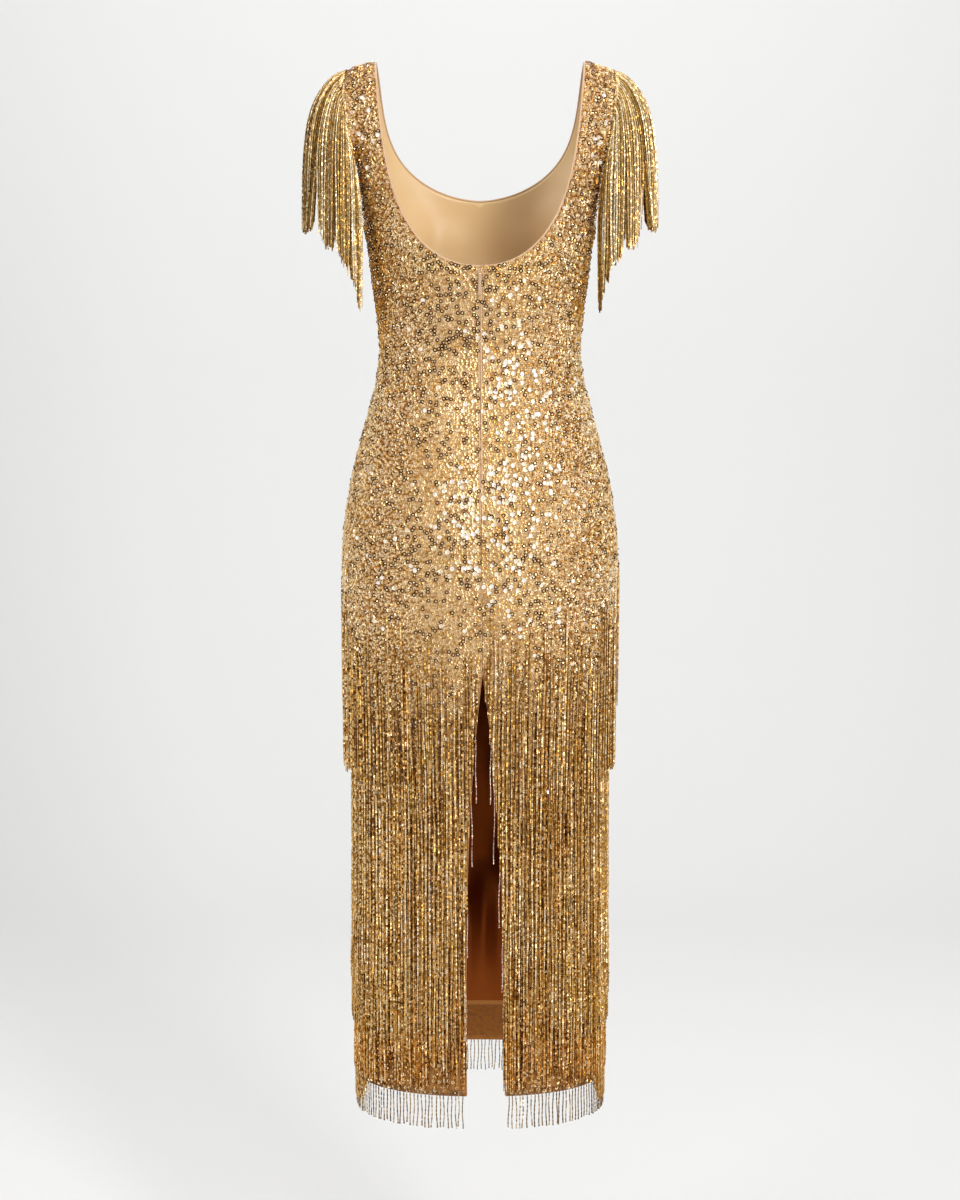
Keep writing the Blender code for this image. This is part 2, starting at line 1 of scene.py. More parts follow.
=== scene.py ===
"""The sequin fringe dress as it looks when it is finished and worn.

A fitted sheath of nude net sewn all over with gold cup sequins, with strands of cut beads on its sleeves, its
skirt and its hem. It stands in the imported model's frame: metres, +Z up, the back with its zip facing +Y.
"""

import math

import bmesh
import bpy
import numpy as np
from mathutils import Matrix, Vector


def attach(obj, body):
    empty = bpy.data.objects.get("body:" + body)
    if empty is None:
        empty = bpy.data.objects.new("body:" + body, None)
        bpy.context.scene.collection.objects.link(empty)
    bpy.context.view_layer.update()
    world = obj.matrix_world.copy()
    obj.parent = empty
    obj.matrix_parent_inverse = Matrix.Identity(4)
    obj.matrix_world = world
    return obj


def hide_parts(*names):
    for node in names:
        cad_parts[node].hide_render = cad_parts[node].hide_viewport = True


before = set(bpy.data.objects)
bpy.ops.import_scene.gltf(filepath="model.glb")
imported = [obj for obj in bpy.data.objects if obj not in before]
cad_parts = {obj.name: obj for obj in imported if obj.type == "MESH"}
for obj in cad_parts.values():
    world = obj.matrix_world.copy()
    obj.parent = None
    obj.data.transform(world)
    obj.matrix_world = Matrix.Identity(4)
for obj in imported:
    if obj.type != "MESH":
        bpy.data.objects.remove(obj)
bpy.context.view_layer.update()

# ------------------------------------------------------------
# Front panel: one length of nude stretch net from the shoulders to the hem, cut to a round neck and shaped
# by its side seams alone. It is held in its worn form, with the soft drag lines of a close fit.
# ------------------------------------------------------------

FRONT, BACK = -1, 1
LEFT, RIGHT = 1, -1
NET_THICKNESS = 0.0011
SEAM_GAP = 0.0003
HEM = -1.270
UNDERARM = -0.205
LEVEL = -0.450
SHOULDER_ARCH = 0.130
SHOULDER_SLOPE = 0.34
NECK_HALF_WIDTH = 0.1275
SQUARENESS = 2.3

# The worn form in millimetres: height, half width, depth to the front, depth to the back
WORN_FORM = np.array([
    (0, 182, 100, 100), (-60, 180, 100, 101), (-130, 168, 104, 101), (-170, 152, 110, 99),
    (-205, 138.5, 115, 98), (-240, 133, 117, 96), (-280, 127.5, 111, 91), (-315, 123.5, 99, 84.5),
    (-350, 121.5, 90, 81), (-385, 126, 91, 84.5), (-415, 133.5, 94.5, 92), (-450, 143.5, 98.5, 101),
    (-485, 152.5, 101.5, 109), (-525, 161.5, 103.5, 116), (-570, 167.5, 105, 121.5), (-610, 170, 106, 122.5),
    (-660, 169.5, 106, 120.5), (-720, 167, 106, 116.5), (-800, 162, 106, 112.5), (-870, 159, 106, 110.5),
    (-940, 158, 106, 110), (-1270, 158, 106, 110),
]) / 1000
HALF_WIDTH, FRONT_DEPTH, BACK_DEPTH = 1, 2, 3

# Drag lines and wrinkles, each a soft trough or, where its depth is negative, a ridge: degrees round from the
# centre back towards the wearer's left and height at both ends, width, depth, and how far its middle sags, all
# but the degrees in millimetres
CREASES = np.array([
    (10, -328, 44, -342, 7, 1.6, 4), (26, -352, 78, -340, 8, 2.2, 5), (-14, -345, -52, -330, 7.5, 1.8, 6),
    (-38, -362, -84, -356, 8, 2.4, -3), (30, -371, 66, -380, 7, 1.2, -3), (-8, -366, -30, -374, 6.5, 1, 2),
    (12, -590, 46, -598, 10, 1.8, 7), (-10, -596, -40, -588, 10, 1.6, 8), (58, -505, 92, -532, 9.5, 1.8, 4),
    (-66, -515, -98, -548, 9, 1.4, 3), (38, -905, 92, -897, 7.5, 3.4, 4), (44, -888, 88, -880, 7, -2, 3),
    (56, -255, 88, -225, 9, 2, 4), (-58, -262, -90, -228, 8.5, 2.2, 4), (124, -300, 96, -232, 9.5, 2.6, 5),
    (-128, -308, -98, -238, 10, 2.4, 6), (172, -362, 122, -350, 8, 1.8, 5), (-168, -352, -116, -366, 8.5, 2, 4),
    (150, -385, 104, -372, 7.5, 1.4, -3), (-176, -470, -130, -500, 11, 1.4, 6),
    (168, -560, 126, -535, 11, 2, 6), (-150, -590, -104, -560, 10.5, 1.8, 5), (140, -720, 98, -705, 12, 2, 6),
    (-118, -868, -80, -878, 8, 2, 4), (-30, -930, -76, -940, 10, 1.6, 3), (160, -930, 112, -915, 11, 1.8, 5),
]) * (1, 0.001, 1, 0.001, 0.001, 0.001, 0.001)


def form_size(column, height):
    """One column of the worn form at each height, on a smooth curve through its rows."""
    heights, values = WORN_FORM[:, 0], WORN_FORM[:, column]
    height = np.clip(height, heights[-1], heights[0])
    row = np.clip(np.searchsorted(-heights, -height, side="right") - 1, 0, len(heights) - 2)
    before = np.maximum(np.arange(len(heights)) - 1, 0)
    after = np.minimum(np.arange(len(heights)) + 1, len(heights) - 1)
    slopes = (values[after] - values[before]) / (heights[after] - heights[before])
    span = heights[row + 1] - heights[row]
    u = (height - heights[row]) / span
    start, end = values[row], values[row + 1]
    curve = (
        start * (2 * u**3 - 3 * u**2 + 1)
        + end * (3 * u**2 - 2 * u**3)
        + slopes[row] * span * (u**3 - 2 * u**2 + u)
        + slopes[row + 1] * span * (u**3 - u**2)
    )
    return np.where(start == end, start, curve)


def height_at(fall):
    """Height for a fall of 0 on the shoulder line, 1 at the foot of the shoulder's arch, and on down."""
    over = -SHOULDER_ARCH * (1 - np.cos(np.pi / 2 * np.minimum(fall, 1)))
    return over - SHOULDER_ARCH * np.pi / 2 * np.maximum(fall - 1, 0)


def fall_at(height):
    height = np.asarray(height)
    over = 2 / np.pi * np.arccos(np.clip(1 + height / SHOULDER_ARCH, 0, 1))
    return np.where(height > -SHOULDER_ARCH, over, 1 + 2 / np.pi * (-height / SHOULDER_ARCH - 1))


def turn_at(across, height):
    return np.arcsin(np.clip(across / form_size(HALF_WIDTH, height), -1, 1))


def place_of(across, height):
    """The (turn, fall) of places known by their distance from the centre and their height."""
    return turn_at(across, height), fall_at(height)


def smooth_form(side, turn, fall):
    """Points of the worn form before it creases: turn is 0 at the centre and a quarter turn at each side."""
    height = height_at(fall)
    across = form_size(HALF_WIDTH, height) * np.sin(turn)
    depth = form_size(BACK_DEPTH if side == BACK else FRONT_DEPTH, height)
    arch = np.sin(np.pi / 2 * np.minimum(fall, 1))
    bulge = np.maximum(1 - np.abs(np.sin(turn)) ** SQUARENESS, 0) ** (1 / SQUARENESS)
    drop = SHOULDER_SLOPE * np.maximum(np.abs(across) - NECK_HALF_WIDTH, 0) * np.maximum(1 - fall, 0)
    return np.stack([across, side * depth * arch * bulge, height - drop], axis=-1)


def unit(vectors):
    return vectors / np.maximum(np.linalg.norm(vectors, axis=-1, keepdims=True), 1e-12)


def surface_axes(surface, side, turn, fall, step=1e-4):
    """The ways across to the left, down, and out of a surface of the form at each place."""
    quarter = np.pi / 2
    left, right = np.minimum(turn + step, quarter), np.maximum(turn - step, -quarter)
    across = surface(side, left, fall) - surface(side, right, fall)
    down = surface(side, turn, fall + step) - surface(side, turn, np.maximum(fall - step, 0))
    across, down = unit(across), unit(down)
    return across, down, side * unit(np.cross(across, down))


def way_out(side, turn, fall):
    return surface_axes(smooth_form, side, turn, fall)[2]


def past_side(turn):
    """A turn on the front as the way round from the centre back, or the other way about."""
    return np.where(turn < 0, -np.pi, np.pi) - turn


MEAN_RADIUS = 0.14


def crease_depth(side, turn, height):
    """How far the cloth is drawn in at each place."""
    round_way = turn if side == BACK else past_side(turn)
    depth = np.zeros(np.broadcast(turn, height).shape)
    for start, start_height, end, end_height, width, deep, sag in CREASES:
        start, end = math.radians(start), math.radians(end)
        across = ((round_way - start + np.pi) % (2 * np.pi) - np.pi) * MEAN_RADIUS
        along_across, along_down = (end - start) * MEAN_RADIUS, end_height - start_height
        length = along_across**2 + along_down**2
        share = np.clip((across * along_across + (height - start_height) * along_down) / length, 0, 1)
        bow = sag * np.sin(np.pi * share)
        away = np.hypot(across - share * along_across, height - start_height - share * along_down + bow)
        depth += deep * np.exp(-((away / width) ** 2)) * (0.25 + 0.75 * np.sin(np.pi * share))
    return depth


def cloth(side, turn, fall, lift=0.0):
    """Points of the creased cloth's right side, or points held off it by a lift."""
    drawn = lift - crease_depth(side, turn, height_at(fall))
    return smooth_form(side, turn, fall) + way_out(side, turn, fall) * np.asarray(drawn)[..., None]


def running_length(line):
    """The length along a line, or along each of many, up to each of its points."""
    steps = np.linalg.norm(np.diff(line, axis=-2), axis=-1).cumsum(axis=-1)
    return np.concatenate([np.zeros_like(steps[..., :1]), steps], axis=-1)


def read_along(at, lengths, places):
    """Places of two numbers each, read at lengths along their line."""
    return np.stack([np.interp(at, lengths, places[:, i]) for i in (0, 1)], axis=-1)


def spaced(places, count):
    """count + 1 places spaced evenly along a cut line of (distance from the centre, height)."""
    turn, fall = place_of(*places.T)
    arch = SHOULDER_ARCH * np.sin(np.pi / 2 * np.minimum(fall, 1))
    measured = np.stack([places[:, 0], arch - 0.4 * smooth_form(BACK, turn, fall)[:, 1], places[:, 1]], axis=-1)
    lengths = running_length(measured)
    return read_along(np.linspace(0, lengths[-1], count + 1), lengths, places)


def neckline(side, count):
    """The scooped neck edge from the shoulder down to the centre: the back's is open and deep."""
    taper, deep, roundness = (0.096, 0.2456, 0.45) if side == BACK else (0.080, 0.1651, 0.57)
    depth = deep * np.sin(np.linspace(0, np.pi / 2, 241))
    width = (NECK_HALF_WIDTH - taper * depth) * np.maximum(1 - (depth / deep) ** 4, 0) ** roundness
    return spaced(np.stack([width, -depth], axis=-1), count)


def armhole(count):
    """The armhole's edge from the shoulder's outer end down to the underarm."""
    share = np.sin(np.linspace(0, np.pi / 2, 241))
    opening = np.radians(36 * (1 - share**2.5) ** 0.5 - 4.5 * (1 - share) ** 3)
    height = UNDERARM * share
    return spaced(np.stack([form_size(HALF_WIDTH, height) * np.cos(opening), height], axis=-1), count)


SLIT_TOP = -0.7290
SLIT_HALF_WIDTH = 0.0245
SEAM_DRIFT = 0.0075
DRIFT_TOP = -0.35


def slit_half_width(height):
    share = np.clip((SLIT_TOP - height) / (SLIT_TOP - HEM), 0, 1)
    return SLIT_HALF_WIDTH * (1 - (1 - share) ** 3)


def seam_offset(height):
    """The centre back seam drifts a little to the wearer's right towards the hem."""
    return -SEAM_DRIFT * np.clip((height - DRIFT_TOP) / (HEM - DRIFT_TOP), 0, 1)


ARMHOLE_ROWS = 35
LEAST_FALL = 1e-3


def panel_edges(side, hand, hem=HEM):
    """The inner and outer ends, as (turn, fall), of each row across half a panel."""
    neck_rows, above_rows = (45, 30) if side == BACK else (40, 35)
    lower = np.linspace(LEVEL, hem, 111)[1:]
    neck = neckline(side, neck_rows)
    middle = np.concatenate([np.linspace(neck[-1, 1], LEVEL, above_rows + 1)[1:], lower])
    inner = np.concatenate([neck, np.stack([0 * middle, middle], axis=-1)])
    if side == BACK:
        edge = SEAM_GAP / 2 + slit_half_width(inner[:, 1]) + hand * seam_offset(inner[:, 1])
        inner[:, 0] = np.where(inner[:, 0] > 0, np.maximum(inner[:, 0], edge), edge)
    seam = np.concatenate([np.linspace(UNDERARM, LEVEL, 41)[1:], lower])
    outer = np.concatenate([armhole(ARMHOLE_ROWS), np.stack([form_size(HALF_WIDTH, seam), seam], axis=-1)])
    return [np.stack([turn_at(*e.T), np.maximum(fall_at(e[:, 1]), LEAST_FALL)], axis=-1) for e in (inner, outer)]


def panel_places(edges, row, share):
    """(turn, fall) at a running row number and a share of the way from the inner to the outer edge."""
    inner, outer = (read_along(row, np.arange(len(edge)), edge) for edge in edges)
    return np.moveaxis(inner + (outer - inner) * np.asarray(share)[..., None], -1, 0)


def flat_grid(bm, columns, rows):
    """The corners of a new grid, and their places from -1 to 1 across and up."""
    bm.loops.layers.uv.verify()
    verts = bmesh.ops.create_grid(bm, x_segments=columns, y_segments=rows, size=1)["verts"]
    return verts, np.array([v.co[:2] for v in verts])


def lay(bm, verts, points, cut):
    """Puts a grid's corners where they belong, with its cut laid out flat in the UV map."""
    laid_flat = bm.loops.layers.uv.active
    for vert, point, place in zip(verts, points, cut):
        vert.co = point
        for loop in vert.link_loops:
            loop[laid_flat].uv = place


def add_half_panel(bm, side, hand, edges, columns, surface):
    """One half of a panel as a grid on the worn form."""
    rows = len(edges[0]) - 1
    verts, flat = flat_grid(bm, columns, rows)
    column, row = np.round((flat + 1) / 2 * (columns, rows)).astype(int).T
    row = rows - row
    turn, fall = panel_places(edges, row, column / columns)
    points = surface(side, hand * turn, fall)
    on_seam = (row == 0) | ((column == columns) & (row >= ARMHOLE_ROWS))
    points[on_seam, 1] = side * SEAM_GAP / 2
    lattice = points[np.lexsort((column, row))].reshape(rows + 1, columns + 1, 3)
    across = running_length(lattice) + lattice[:, :1, 0] * hand
    down = running_length(lattice.swapaxes(0, 1)).mean(axis=0)
    lay(bm, verts, points, np.stack([hand * across[row, column], -down[row]], axis=-1))


def add_object(name, data):
    made = bpy.data.objects.new(name, data)
    bpy.context.scene.collection.objects.link(made)
    return made


def as_piece(name, slot, mesh, *finishes):
    """A finished mesh as one piece of the dress."""
    for finish in finishes:
        mesh.materials.append(finish)
    piece = add_object(name, mesh)
    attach(piece, "dress")
    return piece


def cloth_piece(name, node, slot, bm, thickness, flat, *finishes):
    """A shell of cloth in a node's place: it faces away from the wearer, and its wall lies within it."""
    bmesh.ops.recalc_face_normals(bm, faces=bm.faces)
    outward = sum(f.normal.dot(Vector((f.calc_center_median().x, f.calc_center_median().y, 0))) for f in bm.faces)
    if outward < 0:
        bmesh.ops.reverse_faces(bm, faces=bm.faces)
    area = sum(f.calc_area() for f in bm.faces)
    mesh = bpy.data.meshes.new(name)
    bm.to_mesh(mesh)
    bm.free()
    mesh.shade_smooth()
    piece = as_piece(name, slot, mesh, *finishes)
    wall = piece.modifiers.new("cloth", "SOLIDIFY")
    wall.thickness, wall.offset = thickness, -1
    wall.material_offset = len(finishes) - 1
    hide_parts(node)


class Value:
    """A shader socket in a formula: each sum or product adds its Math node."""

    def __init__(self, finish, socket):
        self.finish, self.socket = finish, socket

    def maths(self, operation, *numbers, kind="Math"):
        return self.finish.node(kind, 0, {"operation": operation}, dict(enumerate(numbers)))

    def __add__(self, other):
        return self.maths("ADD", self, other)

    def __sub__(self, other):
        return self.maths("SUBTRACT", self, other)

    def __rsub__(self, other):
        return self.maths("SUBTRACT", other, self)

    def __mul__(self, other):
        return self.maths("MULTIPLY", self, other)

    def __truediv__(self, other):
        return self.maths("DIVIDE", self, other)

    __radd__, __rmul__ = __add__, __mul__


class Finish:
    """A material in the making: the surface's own nodes feed its one Principled shader."""

    def __init__(self, name, **constants):
        self.material = bpy.data.materials.new(name)
        self.material.use_nodes = True
        self.tree = self.material.node_tree
        self.surface(**constants)

    def feed(self, inputs, values):
        """Gives sockets, by number or by name with its spaces as underscores, their values or links."""
        for socket, value in values.items():
            socket = inputs[socket.replace("_", " ") if isinstance(socket, str) else socket]
            if isinstance(value, Value):
                self.tree.links.new(value.socket, socket)
            else:
                socket.default_value = value

    def surface(self, **values):
        self.feed(self.tree.nodes["Principled BSDF"].inputs, values)

    def node(self, kind, output=0, settings=None, numbered=None, **named):
        """Adds a node, with its settings and then its sockets, and gives one of its outputs."""
        made = self.tree.nodes.new("ShaderNode" + kind)
        for setting, value in (settings or {}).items():
            setattr(made, setting, value)
        self.feed(made.inputs, {**(numbered or {}), **named})
        return Value(self, made.outputs[output])

    def blend(self, share, a, b):
        a, b = (colour if isinstance(colour, Value) else (*colour, 1) for colour in (a, b))
        return self.node("Mix", 2, {"data_type": "RGBA"}, {0: share, 6: a, 7: b})

    def ramp(self, share, *stops):
        shade = self.node("ValToRGB", Fac=share)
        elements = shade.socket.node.color_ramp.elements
        while len(elements) < len(stops):
            elements.new(0.5)
        for element, (position, colour) in zip(elements, stops):
            element.position, element.color = position, (*colour, 1)
        return shade

    def here(self):
        """Where each point lies on the piece itself."""
        return self.node("TexCoord", 3)

    def height(self):
        return self.node("SeparateXYZ", 2, Vector=self.here())

    def fade(self, height, top, foot):
        """Comes in from 0 to 1 between two heights."""
        return self.node("MapRange", Value=height, From_Min=top, From_Max=foot)

    def noise(self, place, scale, detail=2.0, **more):
        return self.node("TexNoise", Vector=place, Scale=scale, Detail=detail, **more)

    def bump(self, height, strength, distance):
        return self.node("Bump", Height=height, Strength=strength, Distance=distance)


def net_finish(name, ground, thread, skirt, stitches, sheen):
    """Fine stretch net: threads crossing at 0.8 mm over the bare ground, mottled by the stitches behind.

    From the hips down the ground takes a skirt colour: on the right side a painted shade, where the strands keep the
    light off it, and on the wrong side a lighter, warmer painted light near the open hem.
    """
    net = Finish(name, Roughness=0.62, Sheen_Weight=sheen, Sheen_Roughness=0.4, Specular_IOR_Level=0.2)
    cut = net.node("UVMap")
    turned = net.node("Mapping", Vector=cut, Scale=(-1.0, 1.0, 1.0))
    one_way, other_way = (
        net.node("TexWave", 1, {"bands_direction": "DIAGONAL"}, Vector=way, Scale=220.0, Distortion=0.4)
        for way in (cut, turned)
    )
    threads = one_way.maths("MAXIMUM", one_way, other_way)
    mottle, broad = net.noise(cut, 190.0, 3.0, Roughness=0.6), net.noise(cut, 14.0)
    low = net.fade(net.height(), -0.66, -0.90)
    colour = net.blend(low, net.blend(threads * 0.55 + broad * 0.3, ground, thread), skirt)
    shaded = net.blend(mottle.maths("POWER", mottle, 2.2) * stitches, colour, (0.25, 0.09, 0.020))
    net.surface(Base_Color=shaded, Normal=net.bump(threads + mottle * 0.8, 0.5, 0.0003))
    return net.material


# The right side's darker skirt colour is a painted shade. The wrong side's dark ground is partly its own brown and
# partly a painted shade inside the dress, and its lighter skirt colour is a painted light.
nude_net = net_finish("nude net", (0.62, 0.36, 0.17), (0.84, 0.56, 0.32), (0.36, 0.155, 0.040), 0.6, 0.15)
net_wrong_side = net_finish("net wrong side", (0.20, 0.075, 0.018), (0.36, 0.16, 0.045), (0.52, 0.19, 0.026), 1.6, 0.0)

front_net = bmesh.new()
for hand in (LEFT, RIGHT):
    add_half_panel(front_net, FRONT, hand, panel_edges(FRONT, hand), 16, cloth)
bmesh.ops.remove_doubles(front_net, verts=front_net.verts, dist=1e-6)
cloth_piece(
    "front_panel_net", "front", "gold_sequins", front_net, NET_THICKNESS, (0.45, 1.29), nude_net, net_wrong_side
)

# ------------------------------------------------------------
# Back panels: the same net in two halves, cut low at the neck, joined down the centre by the zip and the
# seam under it, and open from the back of the knees down to the hem as the walking slit.
# ------------------------------------------------------------

HANDS = ((LEFT, "left"), (RIGHT, "right"))
for hand, name in HANDS:
    back_net = bmesh.new()
    add_half_panel(back_net, BACK, hand, panel_edges(BACK, hand), 16, cloth)
    cloth_piece(
        f"back_panel_net_{name}", f"back_{name}", "gold_sequins", back_net, NET_THICKNESS, (0.24, 1.29),
        nude_net, net_wrong_side,
    )

# ------------------------------------------------------------
# Front lining: champagne satin, cut as the front and hung free inside it from the neck and shoulders. It
# shows its glossy face through the open back and, with its turned-up hem, through the slit.
# ------------------------------------------------------------

LINING_HEM = -1.223
LINING_INSET = 0.0014
LINING_THICKNESS = 0.0008

# Where the lining's loose folds run: degrees from the centre front to the wearer's left, height at the top
# and foot, width as an angle, and depth into the dress, lengths in millimetres
LINING_FOLDS = np.array([
    (-3, -1020, -1230, 5.5, 7.5), (9, -1060, -1215, 4.5, 5.5), (-14, -960, -1200, 6, 6),
    (20, -900, -1225, 6.5, 5), (-27, -1080, -1225, 5, 5), (34, -1000, -1200, 6, 4.5),
    (-42, -880, -1200, 7, 4.5), (52, -940, -1225, 6.5, 5), (-60, -1020, -1225, 6, 4), (2, -800, -990, 6, 3),
    (-9, -730, -900, 5, 2.5), (13, -185, -290, 9, 3), (-20, -180, -300, 8, 3.4), (34, -160, -280, 7, 2.6),
    (-38, -150, -290, 8, 3),
]) * (1, 0.001, 0.001, 1, 0.001)


def lining(side, turn, fall):
    """Points of the lining, which sinks away from the front net into soft folds."""
    height = height_at(fall)
    inset = LINING_INSET + crease_depth(side, turn, height)
    for middle, top, foot, width, depth in LINING_FOLDS:
        away = (np.degrees(turn) - middle - 40 * (height - top) * (middle % 3 - 1) * 0.4) / width
        share = np.clip((height - top) / (foot - top), 0, 1)
        inset += depth * np.exp(-(away**2)) * np.sin(np.pi * share**0.7) ** 2
    return smooth_form(side, turn, fall) - way_out(side, turn, fall) * inset[..., None]


def satin_finish(name, face, shade, roughness, skirt=None, hem=None):
    """Satin: fine floats along the cut, a soft gloss, and a slow change of shade.

    In the skirt it deepens into a painted shade of dark red-brown and takes its gloss from that colour, so its
    reflections darken too; towards the foot a little painted light lifts it, down to its paler turned-up hem.
    """
    satin = Finish(name, Specular_IOR_Level=0.40, Sheen_Weight=0.05, Sheen_Roughness=0.35, Anisotropic=0.4)
    cut = satin.node("UVMap")
    floats = satin.node("Mapping", Vector=cut, Scale=(1.0, 0.12, 1.0))
    weave, slow = satin.noise(floats, 2600.0), satin.noise(cut, 9.0, 3.0)
    colour = satin.blend(slow * 0.8 + weave * 0.15, face, shade)
    if skirt:
        height = satin.height()
        # Painted shade: the skirt deepens to a dark red-brown inside the dress, its metal gloss darkened with it; a
        # little painted light lifts it towards the foot
        low, painted_light_share = satin.fade(height, -0.30, -0.62), satin.fade(height, -0.98, -1.17)
        turned_up = height.maths("LESS_THAN", height, hem + 0.008)
        colour = satin.blend(painted_light_share * 0.03 + turned_up * 0.24, satin.blend(low, colour, skirt), (0.62, 0.34, 0.10))
        satin.surface(Metallic=low * 0.9)
    satin.surface(
        Base_Color=colour, Roughness=slow * 0.12 + (roughness - 0.06), Normal=satin.bump(weave, 0.25, 0.0001)
    )
    return satin.material


# Its dark red-brown skirt colour is a painted shade inside the dress.
champagne_satin = satin_finish(
    "champagne satin", (1.0, 0.72, 0.38), (0.93, 0.61, 0.28), 0.30, (0.22, 0.044, 0.004), LINING_HEM
)

lining_edges = panel_edges(FRONT, LEFT, LINING_HEM)
lining_satin = bmesh.new()
for hand in (LEFT, RIGHT):
    add_half_panel(lining_satin, FRONT, hand, lining_edges, 26, lining)
bmesh.ops.remove_doubles(lining_satin, verts=lining_satin.verts, dist=1e-6)
cloth_piece(
    "front_lining_satin", "front_lining", "nude_satin", lining_satin, LINING_THICKNESS, (0.446, 1.24), champagne_satin
)

# ------------------------------------------------------------
# Neck binding: a slim bias roll of nude satin round the front neck and each side of the open back.
# ------------------------------------------------------------

BINDING_RADIUS = 0.0015
BINDING_REACH = 0.0007
SHELL_WALL = 0.0020


def tubes(paths, radii, facing, sides=4, twist=0.0):
    """Points and faces of closed round tubes along equal-length paths, one tube to each path."""
    count, steps = paths.shape[:2]
    way = unit(np.gradient(paths, axis=1))
    across = unit(np.cross(way, facing))
    up = np.cross(across, way)
    angle = (np.arange(sides) + 0.5) * 2 * np.pi / sides + np.asarray(twist)[..., None]
    ring = np.cos(angle)[..., None] * across[:, :, None] + np.sin(angle)[..., None] * up[:, :, None]
    points = paths[:, :, None] + ring * np.broadcast_to(radii, (count, steps))[..., None, None]
    index = np.arange(count * steps * sides).reshape(count, steps, sides)
    ahead = np.roll(index, -1, axis=2)
    walls = np.stack([index[:, :-1], index[:, 1:], ahead[:, 1:], ahead[:, :-1]], axis=-1)
    ends = np.concatenate([index[:, 0], index[:, -1, ::-1]])
    return points.reshape(-1, 3), [walls.reshape(-1, 4), ends]


def joined_piece(name, slot, points, faces, finish, smooth=False, **marks):
    """Many small things as one piece; each mark is a number kept at every point for the finish to read."""
    mesh = bpy.data.meshes.new(name)
    mesh.vertices.add(len(points))
    mesh.vertices.foreach_set("co", points.ravel())
    corners = np.concatenate([f.ravel() for f in faces])
    sizes = np.concatenate([np.full(len(f), f.shape[1]) for f in faces])
    mesh.loops.add(len(corners))
    mesh.loops.foreach_set("vertex_index", corners)
    mesh.polygons.add(len(sizes))
    mesh.polygons.foreach_set("loop_start", np.cumsum(sizes) - sizes)
    mesh.polygons.foreach_set("loop_total", sizes)
    mesh.polygons.foreach_set("use_smooth", np.full(len(sizes), smooth))
    for mark, values in marks.items():
        mesh.attributes.new(mark, "FLOAT", "POINT").data.foreach_set("value", np.ascontiguousarray(values, np.float32))
    mesh.update(calc_edges=True)
    mesh.validate()
    return as_piece(name, slot, mesh, finish)


def roll_piece(name, line, radius, out, finish, sides=10):
    """A narrow satin roll along a line."""
    return joined_piece(name, "nude_satin", *tubes(line[None], radius, out[None], sides), finish, smooth=True)


def roll_finish(name, face, shade):
    """A narrow satin roll: bias floats that wind round it, and small stitches let into it."""
    roll = Finish(name, Roughness=0.42, Specular_IOR_Level=0.5, Sheen_Weight=0.3)
    here = roll.here()
    bias = roll.node("TexWave", 1, {"bands_direction": "DIAGONAL"}, Vector=here, Scale=260.0, Distortion=1.0)
    uneven = roll.noise(here, 60.0)
    roll.surface(Base_Color=roll.blend(bias * 0.25 + uneven * 0.5, face, shade), Normal=roll.bump(bias, 0.4, 0.0002))
    return roll.material


nude_roll = roll_finish("nude satin roll", (0.72, 0.48, 0.28), (0.54, 0.32, 0.16))


def neck_edge(side, hand, rows):
    """The binding's centre line along one side of a neck edge, and the cloth's outward way there."""
    places = neckline(side, rows)
    if side == BACK:
        edge = SEAM_GAP / 2 + hand * seam_offset(places[:, 1])
        places[:, 0] = np.maximum(places[:, 0], edge)
    turn, fall = hand * turn_at(*places.T), np.maximum(fall_at(places[:, 1]), LEAST_FALL)
    rim, out = smooth_form(side, turn, fall), way_out(side, turn, fall)
    rim[0, 1] = side * SEAM_GAP / 2
    along = unit(np.gradient(rim, axis=0))
    into_neck = side * hand * unit(np.cross(out, along))
    line = rim - out * SHELL_WALL / 2 + into_neck * BINDING_REACH
    line[0, 1] = side * 3 * SEAM_GAP
    return line, out


front_halves = zip(neck_edge(FRONT, LEFT, 70), neck_edge(FRONT, RIGHT, 70))
binding_lines = {"front": [np.concatenate([left, right[-2::-1]]) for left, right in front_halves]}
for hand, name in HANDS:
    line, out = neck_edge(BACK, hand, 90)
    line[-1, 0] = seam_offset(line[-1, 2]) + hand * SEAM_GAP
    binding_lines[f"back_{name}"] = line, out
for name, (line, out) in binding_lines.items():
    binding = roll_piece(f"neck_roll_{name}", line, BINDING_RADIUS, out, nude_roll)
    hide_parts(f"neck_binding_{name}")

# ------------------------------------------------------------
# Cap sleeves: a narrow crescent of the sequinned net set into the top of each armhole. Its outer edge
# carries the sleeve's fringe.
# ------------------------------------------------------------

CAP_WIDTH, CAP_END_WIDTH, CAP_REACH, CAP_LEAN = 0.018, 0.002, 0.56, 0.36
CAP_THICKNESS = 0.0011


def cap_seam(share):
    """Where the left cap is sewn to the armhole, from its front end at -1 over the shoulder to its back end."""
    edge = armhole(60)
    points = np.empty(share.shape + (3,))
    for side in (FRONT, BACK):
        lengths = running_length(smooth_form(side, *place_of(*edge.T)))
        here = (share >= 0) == (side == BACK)
        place = read_along(lengths[-1] * CAP_REACH * np.abs(share[here]), lengths, edge)
        points[here] = smooth_form(side, *place_of(*place.T))
    return points


def cap_outward(share):
    lean = np.stack([np.ones_like(share), 0.12 * share, np.full_like(share, -CAP_LEAN)], axis=-1)
    return unit(lean)


def cap_width(share):
    return CAP_END_WIDTH + (CAP_WIDTH - CAP_END_WIDTH) * (1 - np.abs(share)) ** 0.7


def way_along(curve, share):
    """The unit way along a curve of the cap at shares from its front end at -1 to its back end at 1."""
    return unit(curve(np.minimum(share + 1e-3, 1)) - curve(np.maximum(share - 1e-3, -1)))


def cap_surface(share, out, lift=0.0):
    """Points of the left cap at a share of its length and a share of the way out, held off it by a lift."""
    reach = 1.5 * SEAM_GAP + out * cap_width(share)
    off = unit(np.cross(cap_outward(share), way_along(cap_seam, share)))
    return cap_seam(share) + cap_outward(share) * reach[..., None] + off * np.asarray(lift)[..., None]


